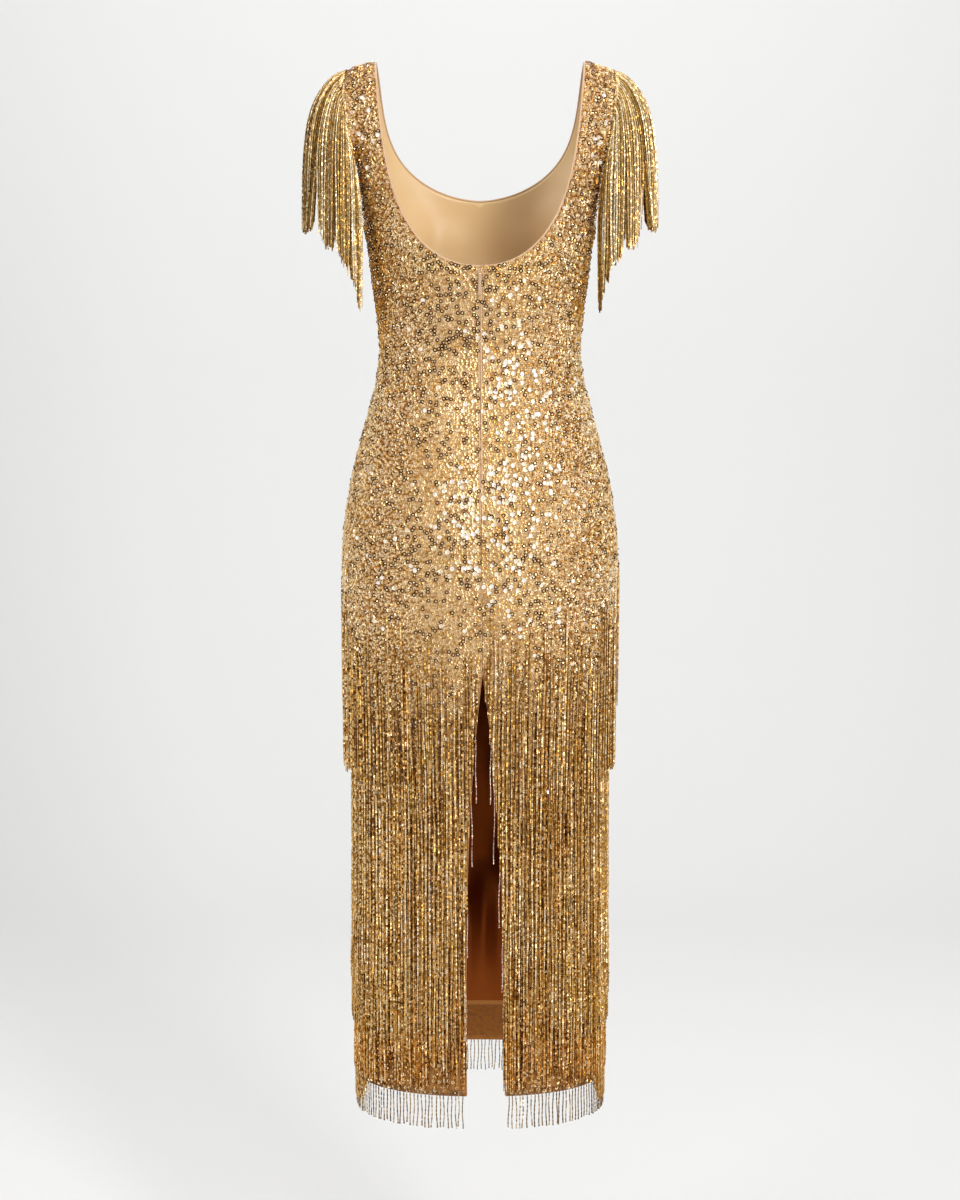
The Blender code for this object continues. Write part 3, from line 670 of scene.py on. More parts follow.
for hand, name in HANDS:
    cap_net = bmesh.new()
    verts, flat = flat_grid(cap_net, 64, 5)
    points = cap_surface(np.round(flat[:, 0], 6), (flat[:, 1] + 1) / 2) * (hand, 1, 1)
    lay(cap_net, verts, points, flat * (0.125, 0.009))
    cloth_piece(
        f"cap_sleeve_net_{name}", f"cap_sleeve_{name}", "gold_sequins", cap_net, CAP_THICKNESS, (0.26, 0.020),
        nude_net, net_wrong_side,
    )

# ------------------------------------------------------------
# Sequins: gold cup sequins 5 mm across, each sewn flat by a thread through its hole along a winding line of
# stitches. They lie close on the bodice and hips, and wider apart under the skirt's strands.
# ------------------------------------------------------------

SEQUIN_RADIUS = 0.00260
HOLE_RADIUS = 0.00118
CUP_DEPTH = 0.00028
SEQUIN_LIFT = 0.00075
chance = np.random.default_rng(41)


def cup_sequin(facets):
    """Points and faces of one sequin: a ring of flat facets dished towards its hole."""
    bm = bmesh.new()
    bmesh.ops.create_circle(bm, cap_ends=True, segments=facets, radius=SEQUIN_RADIUS)
    width = SEQUIN_RADIUS * 0.9 - HOLE_RADIUS
    bmesh.ops.inset_region(
        bm, faces=bm.faces[:], thickness=width, depth=-CUP_DEPTH, use_boundary=True, use_even_offset=True
    )
    hole = [f for f in bm.faces if len(f.verts) > 4]
    bmesh.ops.delete(bm, geom=hole, context="FACES_ONLY")
    bm.verts.index_update()
    points = np.array([v.co for v in bm.verts])
    faces = np.array([[v.index for v in f.verts] for f in bm.faces])
    bm.free()
    return points, faces


def winding(points, scale):
    """A smooth field from -1 to 1 over the cloth, by which neighbouring sequins lean and shade alike."""
    x, y, z = (points * scale).T
    return (np.sin(x * 2.1 + 1.7 * np.sin(z * 1.3 + y)) + np.sin(z * 2.7 + 1.3 * np.sin(x * 1.9 - y * 0.8))) / 2


# Where painted dark reflections, painted white glints and painted shade gather on the sequins, on the back as on
# the front: centre x and height, half width and half height in millimetres, the share of dark ones (painted dark
# reflections) and of white ones (painted glints) there, and how much a painted shade darkens all of them
PAINTED_LIGHT_SPOTS = np.array([
    (46, -330, 45, 95, 0.22, 0, 0), (-26, -270, 30, 35, 0.16, 0.02, 0), (-65, -620, 45, 50, 0.18, 0.02, 0),
    (60, -590, 50, 60, 0.12, 0.02, 0), (-30, -360, 20, 60, 0.02, 0.34, 0), (-52, -470, 38, 90, 0, 0.32, 0),
    (-30, -585, 30, 50, 0, 0.3, 0), (20, -545, 34, 50, 0, 0.26, 0), (-75, -700, 22, 35, 0.05, 0.22, 0),
    (40, -990, 30, 40, 0.05, 0.25, 0), (-85, -985, 30, 45, 0.05, 0.28, 0), (140, -85, 9, 30, 0.05, 0.2, 0),
    (-140, -85, 9, 30, 0.05, 0.2, 0), (150, -150, 14, 50, 0.1, 0, 0.34), (-150, -150, 12, 50, 0.08, 0, 0.22),
    (137, -215, 20, 55, 0.1, 0, 0.36), (-137, -215, 16, 55, 0.08, 0, 0.22), (123, -290, 16, 50, 0.08, 0, 0.26),
    (-123, -290, 12, 45, 0.08, 0, 0.2),
]) * (0.001, 0.001, 0.001, 0.001, 1, 1, 1)


def gathered_tone(points):
    """Each sequin's own colour and its painted light: dark at 0, a painted dark reflection; gold mid; a white glint at
    1.
    """
    count = len(points)
    x, height = points[:, 0, None], points[:, 2, None]
    cx, cz, w, h, dark, white, painted_shade = PAINTED_LIGHT_SPOTS.T
    near = np.exp(-(((x - cx) / w) ** 2) - ((height - cz) / h) ** 2)
    tone = 0.47 + 0.04 * winding(points, 21.0) + chance.normal(0, 0.085, count) - near @ painted_shade
    draw = chance.uniform(0, 1, count)
    tone = np.where(draw < 0.085 + 0.75 * near @ dark, chance.uniform(0, 0.03, count), tone)
    return np.clip(np.where(draw > 0.995 - 0.62 * near @ white, 1.3, tone), 0, 1.3)


def sequin_piece(name, points, across, down, out, lean, toward, finish, facets=6):
    """Sequins at points of the cloth, each spun at random and lapped away from one side, zigzag by its row.

    The edge that a sequin tucks under its neighbour is painted darker, a painted shade, and the edge that stands up
    painted lighter, a painted highlight. The stitch in the middle shows on the darkest and the brightest ones.
    """
    ring, ring_faces = cup_sequin(facets)
    count = len(points)
    tone = gathered_tone(points)
    plain = (tone > 0.1) & (tone < 1)
    # Plain sequins that lean at the sides are painted darker, a painted shade.
    tone = np.where(plain, np.maximum(tone - 0.27 * lean, 0.11), tone)
    sway = winding(points, 230.0)
    bearing = toward * (-np.pi / 2 + np.radians(45) * np.sign(sway) + chance.normal(0, 0.30, count))
    tilt = lean * (0.7 + 0.3 * np.abs(sway)) + chance.normal(0, 1, count) * (0.045 + 0.14 * lean)
    patch = winding(points + 5.0, 60.0)
    lapped = across * np.sin(bearing)[:, None] + down * np.cos(bearing)[:, None]
    up = unit(
        out + lapped * np.tan(tilt)[:, None]
        + across * (0.04 * patch + chance.normal(0, 0.055, count))[:, None]
        - down * (0.04 * patch + chance.normal(0, 0.055, count))[:, None]
    )
    spin = chance.uniform(0, 2 * np.pi, count)[:, None]
    flat_x = unit(across - up * np.sum(across * up, axis=-1, keepdims=True))
    flat_y = np.cross(up, flat_x)
    x, y = flat_x * np.cos(spin) + flat_y * np.sin(spin), flat_y * np.cos(spin) - flat_x * np.sin(spin)
    size = chance.normal(1, 0.035, count) + 0.12 * (tone > 1)
    raised = SEQUIN_LIFT + SEQUIN_RADIUS * 0.5 * np.abs(np.sin(tilt)) + chance.uniform(0, 0.0005, count)
    seat = points + out * (raised + 0.0008 * ~plain)[:, None]
    axes = np.stack([x, y, up], axis=1) * size[:, None, None]
    offset = np.einsum("vk,nkj->nvj", ring, axes)
    placed = seat[:, None] + offset
    faces = ring_faces[None] + (np.arange(count) * len(ring))[:, None, None]
    tucked = np.einsum("nvj,nj->nv", offset, unit(lapped)) / SEQUIN_RADIUS
    # Painted shade and highlight: plain sequins darker at the rim and lighter inside, glints dimmed a little at random,
    # and leaning ones darker where they tuck under and lighter where they stand up
    rim = np.where(np.hypot(*ring[:, :2].T) > 0.8 * SEQUIN_RADIUS, -1.0, 1.0)
    flash = np.where(tone > 1, -0.3 - 0.35 * chance.uniform(0, 1, count) ** 2, 0)
    shade = (tone + flash)[:, None] + (plain * 0.12)[:, None] * rim
    lap_shade_and_highlight = (0.15 + 0.95 * lean) * np.clip(tone / 0.32, 0.25, 1) * plain
    shade -= lap_shade_and_highlight[:, None] * tucked
    # The centres: a pale stitch in the dark ones, and a painted white glint in the glints
    marked = np.flatnonzero(~plain)
    angle = np.arange(6) * np.pi / 3
    stitch = np.stack([np.cos(angle), np.sin(angle), 0 * angle - 0.2], axis=-1) * HOLE_RADIUS * 1.02
    centres = seat[marked, None] + np.einsum("vk,nkj->nvj", stitch, axes[marked])
    centre_faces = np.arange(len(marked) * 6).reshape(-1, 6) + placed.shape[0] * placed.shape[1]
    centre_shade = np.repeat(np.where(tone > 1, 1.05 + flash + 0.3, 0.64)[marked], 6)
    joined_piece(
        name, "gold_sequins", np.concatenate([placed.reshape(-1, 3), centres.reshape(-1, 3)]),
        [faces.reshape(-1, 4), centre_faces], finish,
        tone=np.clip(np.concatenate([shade.ravel(), centre_shade]), 0, 1),
    )


def sequin_pitch(side, height):
    """Sequins are 4.2 mm apart down to where the strands lie close, and 7.6 mm apart under them."""
    if side == BACK:
        return np.interp(-height, [0.76, 0.88], [0.0042, 0.0076])
    return np.interp(-height, [0.64, 0.78], [0.0045, 0.0076])


def sewn_places(side, hand):
    """(turn, fall) of the sequins of half a panel: jittered rows, each as full as its length allows."""
    edges = panel_edges(side, hand)
    rows = np.arange(len(edges[0]))
    middle = smooth_form(side, *panel_places(edges, rows, np.full(len(rows), 0.5)))
    down = running_length(middle)
    at, places = 0.0022, []
    while at < down[-1] - 0.0015:
        row = np.interp(at, down, rows)
        pitch = sequin_pitch(side, np.interp(at, down, middle[:, 2]))
        line = smooth_form(side, *panel_places(edges, np.full(25, row), np.linspace(0, 1, 25)))
        length = np.linalg.norm(np.diff(line, axis=0), axis=-1).sum()
        count = max(int(length / pitch), 2)
        step = (np.arange(count) + chance.uniform(0.15, 0.85) + chance.uniform(-0.30, 0.30, count)) / count
        margin = 0.0021 / length
        share = np.clip(step, margin, 1 - margin)
        rows_here = row + chance.uniform(-0.30, 0.30, count) * pitch / (down[-1] / rows[-1])
        turn, fall = panel_places(edges, np.clip(rows_here, 0.2, rows[-1] - 0.2), share)
        height = height_at(fall)
        places.append(np.stack([hand * turn, fall])[:, (height <= 0) & (height > HEM)])
        at += pitch * 0.88
    return np.concatenate(places, axis=1)


gold = Finish("gold cup sequin", Specular_IOR_Level=0.45, Specular_Tint=(1.0, 0.66, 0.28, 1), Coat_Roughness=0.08)
# The attribute carries each sequin's own colour together with its painted shade, dark reflections and white glints.
tone = gold.node("Attribute", 2, {"attribute_name": "tone"})
shade = gold.ramp(
    tone, (0.0, (0.030, 0.009, 0.001)), (0.10, (0.24, 0.062, 0.006)), (0.20, (0.42, 0.170, 0.020)),
    (0.33, (0.62, 0.345, 0.075)), (0.47, (0.75, 0.51, 0.245)), (0.72, (0.93, 0.72, 0.41)), (1.0, (1.0, 0.96, 0.88)),
)
brushed = gold.noise(gold.here(), 900.0)
gold.surface(
    Base_Color=gold.blend(brushed * tone * 0.25, shade, (0.55, 0.33, 0.12)),
    Roughness=brushed * 0.10 + 0.24,
    Metallic=0.90 - tone * 0.6,
    Coat_Weight=tone.maths("POWER", tone, 3.0) * 0.8,
    Normal=gold.bump(brushed, 0.12, 0.0002),
)

sewn = {side: np.concatenate([sewn_places(side, hand) for hand in (LEFT, RIGHT)], axis=1) for side in (BACK, FRONT)}
for side, side_name in ((BACK, "back"), (FRONT, "front")):
    for name, top, foot, facets in (("bodice", 0.0, -0.430, 6), ("hip", -0.430, -0.700, 6), ("skirt", -0.700, HEM, 5)):
        height = height_at(sewn[side][1])
        turn, fall = sewn[side][:, (height <= top) & (height > foot)]
        lean = 0.05 + 0.60 * np.clip((np.abs(np.sin(turn)) - 0.30) / 0.45, 0, 1) ** 1.5
        axes = surface_axes(cloth, side, turn, fall, 2e-3)
        points = cloth(side, turn, fall)
        sequin_piece(f"{side_name}_{name}_sequins", points, *axes, lean, np.sign(turn), gold.material, facets)

for hand, name in HANDS:
    share, out = np.meshgrid(np.linspace(-0.97, 0.97, 58), np.linspace(0.1, 0.95, 5))
    share = (share + chance.uniform(-0.008, 0.008, share.shape)).ravel()
    out = (out + chance.uniform(-0.06, 0.06, out.shape)).ravel()
    keep = chance.uniform(0, 1, share.shape) < np.clip(cap_width(share) / 0.014, 0.3, 1)
    share, out = share[keep], out[keep]
    along = way_along(lambda place: cap_surface(place, out), share)
    off = unit(np.cross(cap_outward(share), along))
    points, *axes = (v * (hand, 1, 1) for v in (cap_surface(share, out), along, cap_outward(share), off))
    sequin_piece(f"cap_sequins_{name}", points, *axes, np.full(len(share), 0.25), hand, gold.material)

# ------------------------------------------------------------
# Sleeve fringe: strands of cut beads on thread, sewn in four rows to the cap sleeve. They run out over the
# shoulder, then hang round the upper arm in clumps of uneven length.
# ------------------------------------------------------------

ARM_CENTRE, ARM_HALF_WIDTH, ARM_HALF_DEPTH = 0.154, 0.0603, 0.0710
ARM_TURN_BEHIND, ARM_TURN_BEFORE = 105, 90
SLEEVE_ROOTS = 60
SLEEVE_BEADS = 26
BEAD_PITCH = 0.0026

# Shares of the arm's round at which one clump of strands ends and the next begins, and how low the tips hang
CLUMPS = np.array([-0.40, 0.40, 0.63, 0.81, 1.0])
SLEEVE_ENDS = (
    [0.0, 0.37, 0.42, 0.60, 0.65, 0.78, 0.84, 0.95, 1.0],
    [-0.202, -0.206, -0.216, -0.230, -0.236, -0.247, -0.270, -0.302, -0.298],
)


def bead_finish(name, dark, middle, bright, sparkle, by_bead=0.75):
    """Cut beads on a thread: every strand is a little lighter or darker, some rows in painted shade, and every bead has
    its own facet.
    """
    beads = Finish(name, Metallic=0.90, Specular_IOR_Level=0.5, Specular_Tint=(1.0, 0.68, 0.32, 1))
    along, strand = (beads.node("Attribute", 2, {"attribute_name": mark}) for mark in ("along", "strand"))
    bead = along / BEAD_PITCH
    key = beads.node("CombineXYZ", X=bead.maths("FLOOR", bead), Y=strand * 977.0)
    own, facet = (beads.node("TexWhiteNoise", output, {"noise_dimensions": "2D"}, Vector=key) for output in (0, 1))
    shade = beads.ramp(
        own * by_bead + strand * (1.1 - by_bead) - 0.05,
        (0.0, dark), (0.45, middle), (0.80, bright), (1.0, (1.0, 0.93, 0.76)),
    )
    leaning = facet.maths("MULTIPLY_ADD", facet, (sparkle,) * 3, (-sparkle / 2,) * 3, kind="VectorMath")
    turned = facet.maths("ADD", beads.node("NewGeometry", 1), leaning, kind="VectorMath")
    neck = bead.maths("FRACT", bead)
    beads.surface(
        Base_Color=beads.blend(neck.maths("COMPARE", neck, 0.0, 0.14) * 0.75, shade, (0.10, 0.045, 0.014)),
        Roughness=own * 0.20 + 0.24,
        Normal=turned.maths("NORMALIZE", turned, kind="VectorMath"),
    )
    return beads.material


cut_gold = bead_finish("cut gold beads", (0.095, 0.026, 0.002), (0.60, 0.305, 0.060), (0.98, 0.73, 0.38), 0.8, 0.68)
sleeve_gold = bead_finish("sleeve cut beads", (0.075, 0.024, 0.003), (0.52, 0.30, 0.080), (0.96, 0.77, 0.46), 0.5, 0.35)


def strand_piece(name, paths, radii, facing, finish, twist=0.0, shade=(0, 1)):
    """Strands of beads as one mesh, with the running length and each strand's shade kept on it, lower for rows in
    painted shade.
    """
    points, faces = tubes(paths, radii, facing, 4, twist)
    along = running_length(paths)
    strand = np.broadcast_to(chance.uniform(*shade, len(paths))[:, None], along.shape)
    marks = {"along": np.repeat(along.ravel(), 4), "strand": np.repeat(strand.ravel(), 4)}
    return joined_piece(name, "gold_beads", points, faces, finish, **marks)


def beaded(steps, bead, neck):
    """Radii along a strand, which swells at each bead and narrows between them."""
    return np.where(np.arange(steps) % 2 == 0, bead, neck)


def arm_place(share):
    """Where a strand from that share of the cap hangs in the round of the arm."""
    turn = np.where(share >= 0, ARM_TURN_BEHIND, ARM_TURN_BEFORE)
    round_angle = np.radians(turn) * (1 - (1 - np.abs(share)) ** 1.2)
    return np.stack([
        ARM_CENTRE + ARM_HALF_WIDTH * np.cos(round_angle),
        np.where(share >= 0, 1, -1) * ARM_HALF_DEPTH * np.sin(round_angle),
        0 * share,
    ], axis=-1)


def sleeve_strands(root_out, layer, shift):
    """Paths of one row of strands on the left sleeve, from where they leave the cap to their ends."""
    share = np.linspace(-0.985, 0.985, SLEEVE_ROOTS) + chance.normal(0, 0.002, SLEEVE_ROOTS)
    share = np.clip(share + shift * 2 / SLEEVE_ROOTS, -0.99, 0.99)
    root = share * (0.45 + 0.47 * share**2)
    outward = cap_outward(root)
    lift = 0.0009 + 0.0013 * max(layer, 0)
    edge = cap_surface(root, np.ones_like(root), lift)
    clump = np.clip(np.searchsorted(CLUMPS, np.abs(share)) - 1, 0, len(CLUMPS) - 2)
    centre = (CLUMPS[clump] + CLUMPS[clump + 1]) / 2
    inside = (np.abs(share) - centre) / (CLUMPS[clump + 1] - CLUMPS[clump]) * 2
    tip = np.interp(np.abs(share), *SLEEVE_ENDS) + 0.007 * np.abs(inside) ** 2
    tip += 0.010 * chance.uniform(0, 1, SLEEVE_ROOTS) ** 2 + chance.normal(0, 0.0025, SLEEVE_ROOTS)
    tip += np.where(share < 0, 0.034 * share**2, 0)
    length = edge[:, 2] - tip
    spread = 1 + 0.022 * layer
    hung = np.linspace(0, 1, 2 * SLEEVE_BEADS)[None]
    fall = hung * length[:, None]
    drawn = np.clip((hung - 0.40) / 0.60, 0, 1) ** 1.5 * 0.26
    hang_share = np.abs(share)[:, None] * (1 - drawn) + centre[:, None] * drawn
    hang = arm_place(np.sign(share)[:, None] * hang_share) - (ARM_CENTRE, 0, 0)
    hang = np.array((ARM_CENTRE, 0, 0)) + hang * (spread, spread, 1)
    reach = (hang - edge[:, None]) * (1, 1, 0)
    sprout = (outward * (1, 1, 0))[:, None] * (0.0022 * np.minimum(fall / 0.004, 1))[..., None]
    sway = 0.0010 * np.sin(fall * 38 + share[:, None] * 40)[..., None] * np.minimum(fall / 0.05, 1)[..., None]
    drape = edge[:, None] + sprout + reach * (1 - np.exp(-fall / 0.034))[..., None]
    drape = drape - np.array((0, 0, 1)) * fall[..., None] + sway * (0.4, 1.0, 0)
    sewn_out = root_out + (0.95 - root_out) * np.abs(share)
    over = [
        cap_surface(root * (0.70 + 0.30 * s), sewn_out + (1 - sewn_out) * s, lift) for s in np.linspace(0, 0.85, 4)
    ]
    paths = np.concatenate([np.stack(over, axis=1), drape], axis=1)
    facing = np.broadcast_to(unit(outward + (0, 0, 0.6))[:, None], paths.shape)
    return paths, facing


# Rows of strands: how far out on the cap they are sewn, how far round the arm they stand off, a shift along
# the cap in steps, the range of their shades, and their radius; the inmost rows fill the gaps behind, with
# lower shades that are a painted shade
SLEEVE_ROWS = [
    (0.95, -2, 0.5, -0.10, 0.35, 0.0015), (0.95, -1, 0.3, -0.15, 0.45, 0.0013),
    (0.62, 0, 0.1, -0.10, 1.0, 0.0010), (0.28, 1, 0.6, 0.05, 1.0, 0.0010),
]
for hand, name in HANDS:
    rows = [sleeve_strands(*row[:3]) for row in SLEEVE_ROWS]
    paths, facing = (np.concatenate(part) * (hand, 1, 1) for part in zip(*rows))
    *shade, radius = (np.repeat([row[i] for row in SLEEVE_ROWS], SLEEVE_ROOTS) for i in (3, 4, 5))
    radii = radius[:, None] * beaded(paths.shape[1], 1.0, 0.74)
    sleeve = strand_piece(f"sleeve_strands_{name}", paths, radii, facing, sleeve_gold, shade=shade)
    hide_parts(f"sleeve_fringe_{name}")

# ------------------------------------------------------------
# Skirt strands: row upon row of the same cut beads, sewn to the net from the hips down. They hang straight
# off the hips, thin out towards the top, and end in two ragged lines, above and below the knee.
# ------------------------------------------------------------

SKIRT_COLUMNS = 166


def ring_places(height, columns, opening, phase):
    """Places evenly round the skirt at a height, clear of the slit, as turns about the dress from its centre back."""
    turn = np.linspace(0, np.pi / 2, 90)
    half = [(BACK, t) for t in turn] + [(FRONT, t) for t in turn[-2::-1]]
    half += [(FRONT, -t) for t in turn[1:]] + [(BACK, -t) for t in turn[-2::-1]]
    side, turn = np.array(half).T
    fall = fall_at(np.full(len(side), height))
    line = np.where((side == BACK)[:, None], smooth_form(BACK, turn, fall), smooth_form(FRONT, turn, fall))
    round_way = np.unwrap(np.where(side == BACK, turn, np.pi - turn))
    lengths = running_length(line)
    at = lengths[-1] * (np.arange(columns) + 0.5 + phase) / columns + chance.normal(0, 0.0003, columns)
    at = at[(at > opening + seam_offset(height)) & (at < lengths[-1] - opening + seam_offset(height))]
    return np.interp(at, lengths, round_way)


def on_ring(round_way, height, lift):
    """Points round the form at a way round from the centre back, creases included, held off by a lift."""
    fall = fall_at(height)
    side_turn = (round_way + np.pi) % (2 * np.pi) - np.pi
    behind = np.abs(side_turn) <= np.pi / 2
    back = cloth(BACK, np.clip(side_turn, -np.pi / 2, np.pi / 2), fall, lift)
    front = cloth(FRONT, np.clip(past_side(side_turn), -np.pi / 2, np.pi / 2), fall, lift)
    return np.where(behind[..., None], back, front)


def level_out(points):
    """The level way out from the middle of the dress at each point."""
    return unit(points * (1, 1, 0))


def level_round(points):
    return unit(np.stack([-points[..., 1], points[..., 0], 0 * points[..., 0]], axis=-1))


def skirt_row(root, length, end, lift, flare, keep, rise, between, steps, ragged):
    """One row of strands: their paths, which never go back in below, and the range of their shades.

    A row between hangs in the gaps of the others, closer to the cloth and in their shade, and its strands are painted
    darker too, a painted shade that deepens in the lower rows. At the sides the strands end in one ragged line;
    behind and in front they end here and there above it.
    """
    round_way = ring_places(root, SKIRT_COLUMNS, 0.001, -0.25 if between else 0.25)
    round_way = round_way[chance.uniform(0, 1, len(round_way)) < keep]
    count = len(round_way)
    at_side = np.clip(1.35 * np.abs(np.sin(round_way)) ** 3 - 0.2, 0, 1)
    start = root + rise * (1 - np.abs(np.cos(round_way)) ** 1.3) + chance.normal(0, 0.006 + 0.3 * rise, count)
    stop = start - length + chance.uniform(-0.015, 0.045, count)
    lowest = end + chance.exponential(ragged, count) - (1 - at_side) * chance.uniform(0, 0.075, count)
    stop = np.where(at_side > 0.5, np.where(start - length < end + 0.04, lowest, stop), np.maximum(stop, lowest))
    stop = np.clip(stop, -1.264 + chance.exponential(0.0015, count), start - 0.02)
    beside = np.abs(on_ring(round_way, np.full(count, root), 0.0)[:, 0] - seam_offset(root)) + 0.0006
    edge_met = SLIT_TOP - (1 - (1 - np.clip(beside / SLIT_HALF_WIDTH, 0, 1)) ** (1 / 3)) * (SLIT_TOP - HEM)
    stop = np.where((np.cos(round_way) > 0) & (beside < SLIT_HALF_WIDTH - 0.0005), np.maximum(stop, edge_met), stop)
    long_enough = start - stop > 0.019
    round_way, start, stop, at_side = (v[long_enough] for v in (round_way, start, stop, at_side))
    count = len(round_way)
    height = start[:, None] + (stop - start)[:, None] * np.linspace(0, 1, steps)[None]
    way = round_way[:, None] + 0 * height
    fallen = start[:, None] - height
    off = lift + flare * fallen * (0.45 + 0.55 * at_side[:, None]) + chance.uniform(0, 0.0007, count)[:, None]
    points = on_ring(way, height, off)
    centre = np.sqrt((points[..., :2] ** 2).sum(axis=-1))
    hung = np.maximum.accumulate(centre, axis=1) / np.maximum(centre, 1e-9)
    hung = 1 + (hung - 1) * (0.25 + 0.68 * at_side[:, None])
    points[..., :2] *= hung[..., None]
    points[..., 2] = height
    sway = chance.normal(0, 0.0007, (count, 1)) * np.sin(fallen * chance.uniform(20, 45, (count, 1)))
    points += level_round(points) * sway[..., None]
    clear = np.abs(points[:, -1, 0] - seam_offset(stop)) > slit_half_width(stop) - 0.0030
    clear |= points[:, -1, 1] < 0
    # Rows between are painted darker, a painted shade, the more so lower down
    darkest = np.interp(-root, [0.72, 0.84], [0.25, -0.20])
    shade = np.broadcast_to((darkest, 0.40) if between else (0.40, 1.0), (count, 2))
    return points[clear], level_out(points[clear]), shade[clear]


STRAND_RADIUS = 0.00115
amber_gold = bead_finish("amber cut beads", (0.11, 0.024, 0.002), (0.60, 0.255, 0.038), (0.98, 0.67, 0.30), 0.8, 0.68)
# Each piece's finish, points to a strand and ragged ends; then for each row its root and length, the lowest end,
# its lift and flare, the share of strands kept, its rise at the sides, and whether it hangs between the others
skirt_rows = {
    "hip": (cut_gold, 11, 0.006, [
        (-0.695, 0.190, -0.873, 0.0030, 0.024, 0.36, 0.045, False),
        (-0.715, 0.190, -0.873, 0.0018, 0.018, 0.50, 0.030, True),
        (-0.750, 0.190, -0.873, 0.0024, 0.022, 0.85, 0.015, False),
        (-0.790, 0.190, -0.873, 0.0016, 0.018, 1.0, 0.0, True),
    ]),
    "knee": (cut_gold, 11, 0.006, [
        (-0.835, 0.200, -1.060, 0.0020, 0.016, 1.0, 0.0, False),
        (-0.890, 0.190, -1.201, 0.0014, 0.018, 1.0, 0.0, True),
        (-0.945, 0.200, -1.201, 0.0022, 0.024, 1.0, 0.0, False),
        (-1.000, 0.200, -1.201, 0.0014, 0.022, 1.0, 0.0, True),
        (-1.045, 0.190, -1.201, 0.0020, 0.022, 1.0, 0.0, False),
    ]),
    "skirt_foot": (amber_gold, 9, 0.002, [
        (-1.105, 0.170, -1.264, 0.0014, 0.010, 1.0, 0.0, True),
        (-1.150, 0.120, -1.264, 0.0020, 0.012, 1.0, 0.0, False),
        (-1.195, 0.080, -1.264, 0.0012, 0.010, 1.0, 0.0, True),
    ]),
}
for name, (finish, steps, ragged, rows) in skirt_rows.items():
    made = [skirt_row(*row, steps, ragged) for row in rows]
    paths, facing, shade = (np.concatenate(part) for part in zip(*made))
    twist = chance.uniform(0, np.pi / 2, (len(paths), 1))
    radii = STRAND_RADIUS * np.where(np.arange(steps) < steps - 1, 1, 0.55)
    strands = strand_piece(f"{name}_strands", paths, radii, facing, finish, twist, shade.T)
    if name != "skirt_foot":
        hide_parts(f"{name}_fringe")

# ------------------------------------------------------------
# Hem fringe: a single row of fine strands, about five millimetres apart, that hangs clear of the hem, and
# at both sides the gold strands of the skirt, which hang past it.
# ------------------------------------------------------------

HEM_STRANDS, HEM_STRAND_TOP, HEM_STRAND_TIP = 182, -1.262, -1.3125
HEM_SIDE_STRANDS, HEM_SIDE_TOP, HEM_SIDE_TIP = 400, -1.250, -1.300


def hung_strands(round_way, ring, lift, top, tips, steps):
    """Strands that hang straight down from one height off the form, and how far each point has fallen."""
    height = top + np.linspace(0, 1, steps)[None] * (tips - top)[:, None]
    paths = on_ring(round_way[:, None] + 0 * height, np.full(height.shape, ring), lift)
    paths[..., 2] = height
    return paths, top - height


pale_beads = bead_finish("fine smoky beads", (0.06, 0.034, 0.016), (0.24, 0.155, 0.085), (0.58, 0.43, 0.27), 0.7)
round_way = ring_places(HEM_STRAND_TOP - 0.001, HEM_STRANDS, SLIT_HALF_WIDTH, 0.0)
tips = HEM_STRAND_TIP + np.abs(chance.normal(0, 0.0016, len(round_way)))
paths, fallen = hung_strands(round_way, HEM_STRAND_TOP, 0.0012, HEM_STRAND_TOP, tips, 19)
loose = chance.normal(0, 0.0011, (len(round_way), 1)) * (fallen / 0.05) ** 1.5
loose += 0.0005 * np.sin(fallen * 150 + chance.uniform(0, 6, (len(round_way), 1)))
paths = paths + level_round(paths) * loose[..., None]
radii = beaded(19, 0.00090, 0.00060) * np.where(np.arange(19) > 16, 1.2, 1)
hem_strands = strand_piece("hem_strands", paths, radii, level_out(paths), pale_beads)
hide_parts("hem_fringe")

round_way = ring_places(HEM_SIDE_TOP - 0.002, HEM_SIDE_STRANDS, SLIT_HALF_WIDTH, 0.0)
round_way = round_way[np.abs(np.sin(round_way)) > 0.88]
inward = np.clip((0.95 - np.abs(np.sin(round_way))) / 0.07, 0, 1)
tips = HEM_SIDE_TIP + 0.040 * inward**1.5 + chance.exponential(0.004, len(round_way)) * (1 - 0.6 * inward)
paths, fallen = hung_strands(round_way, HEM_SIDE_TOP - 0.002, 0.0024, HEM_SIDE_TOP, tips, 13)
strand_piece("hem_side_strands", paths, 0.00105, level_out(paths), cut_gold, shade=(0.2, 1.0))

# ------------------------------------------------------------
# Slit: both edges are piped in brown satin, and a few rosy strands of the fringe have swung clear of
# them into the opening.
# ------------------------------------------------------------

brown_roll = roll_finish("brown satin piping", (0.46, 0.21, 0.07), (0.30, 0.12, 0.035))
height = np.linspace(SLIT_TOP - 0.001, HEM + 0.001, 80)
for hand, name in HANDS:
    place = place_of(seam_offset(height) + hand * (slit_half_width(height) - 0.0002), height)
    roll_piece(f"slit_piping_{name}", cloth(BACK, *place, -0.0004), 0.0008, way_out(BACK, *place), brown_roll, 8)

rosy_beads = bead_finish("rosy beads", (0.30, 0.15, 0.11), (0.62, 0.38, 0.30), (0.90, 0.68, 0.56), 0.8)
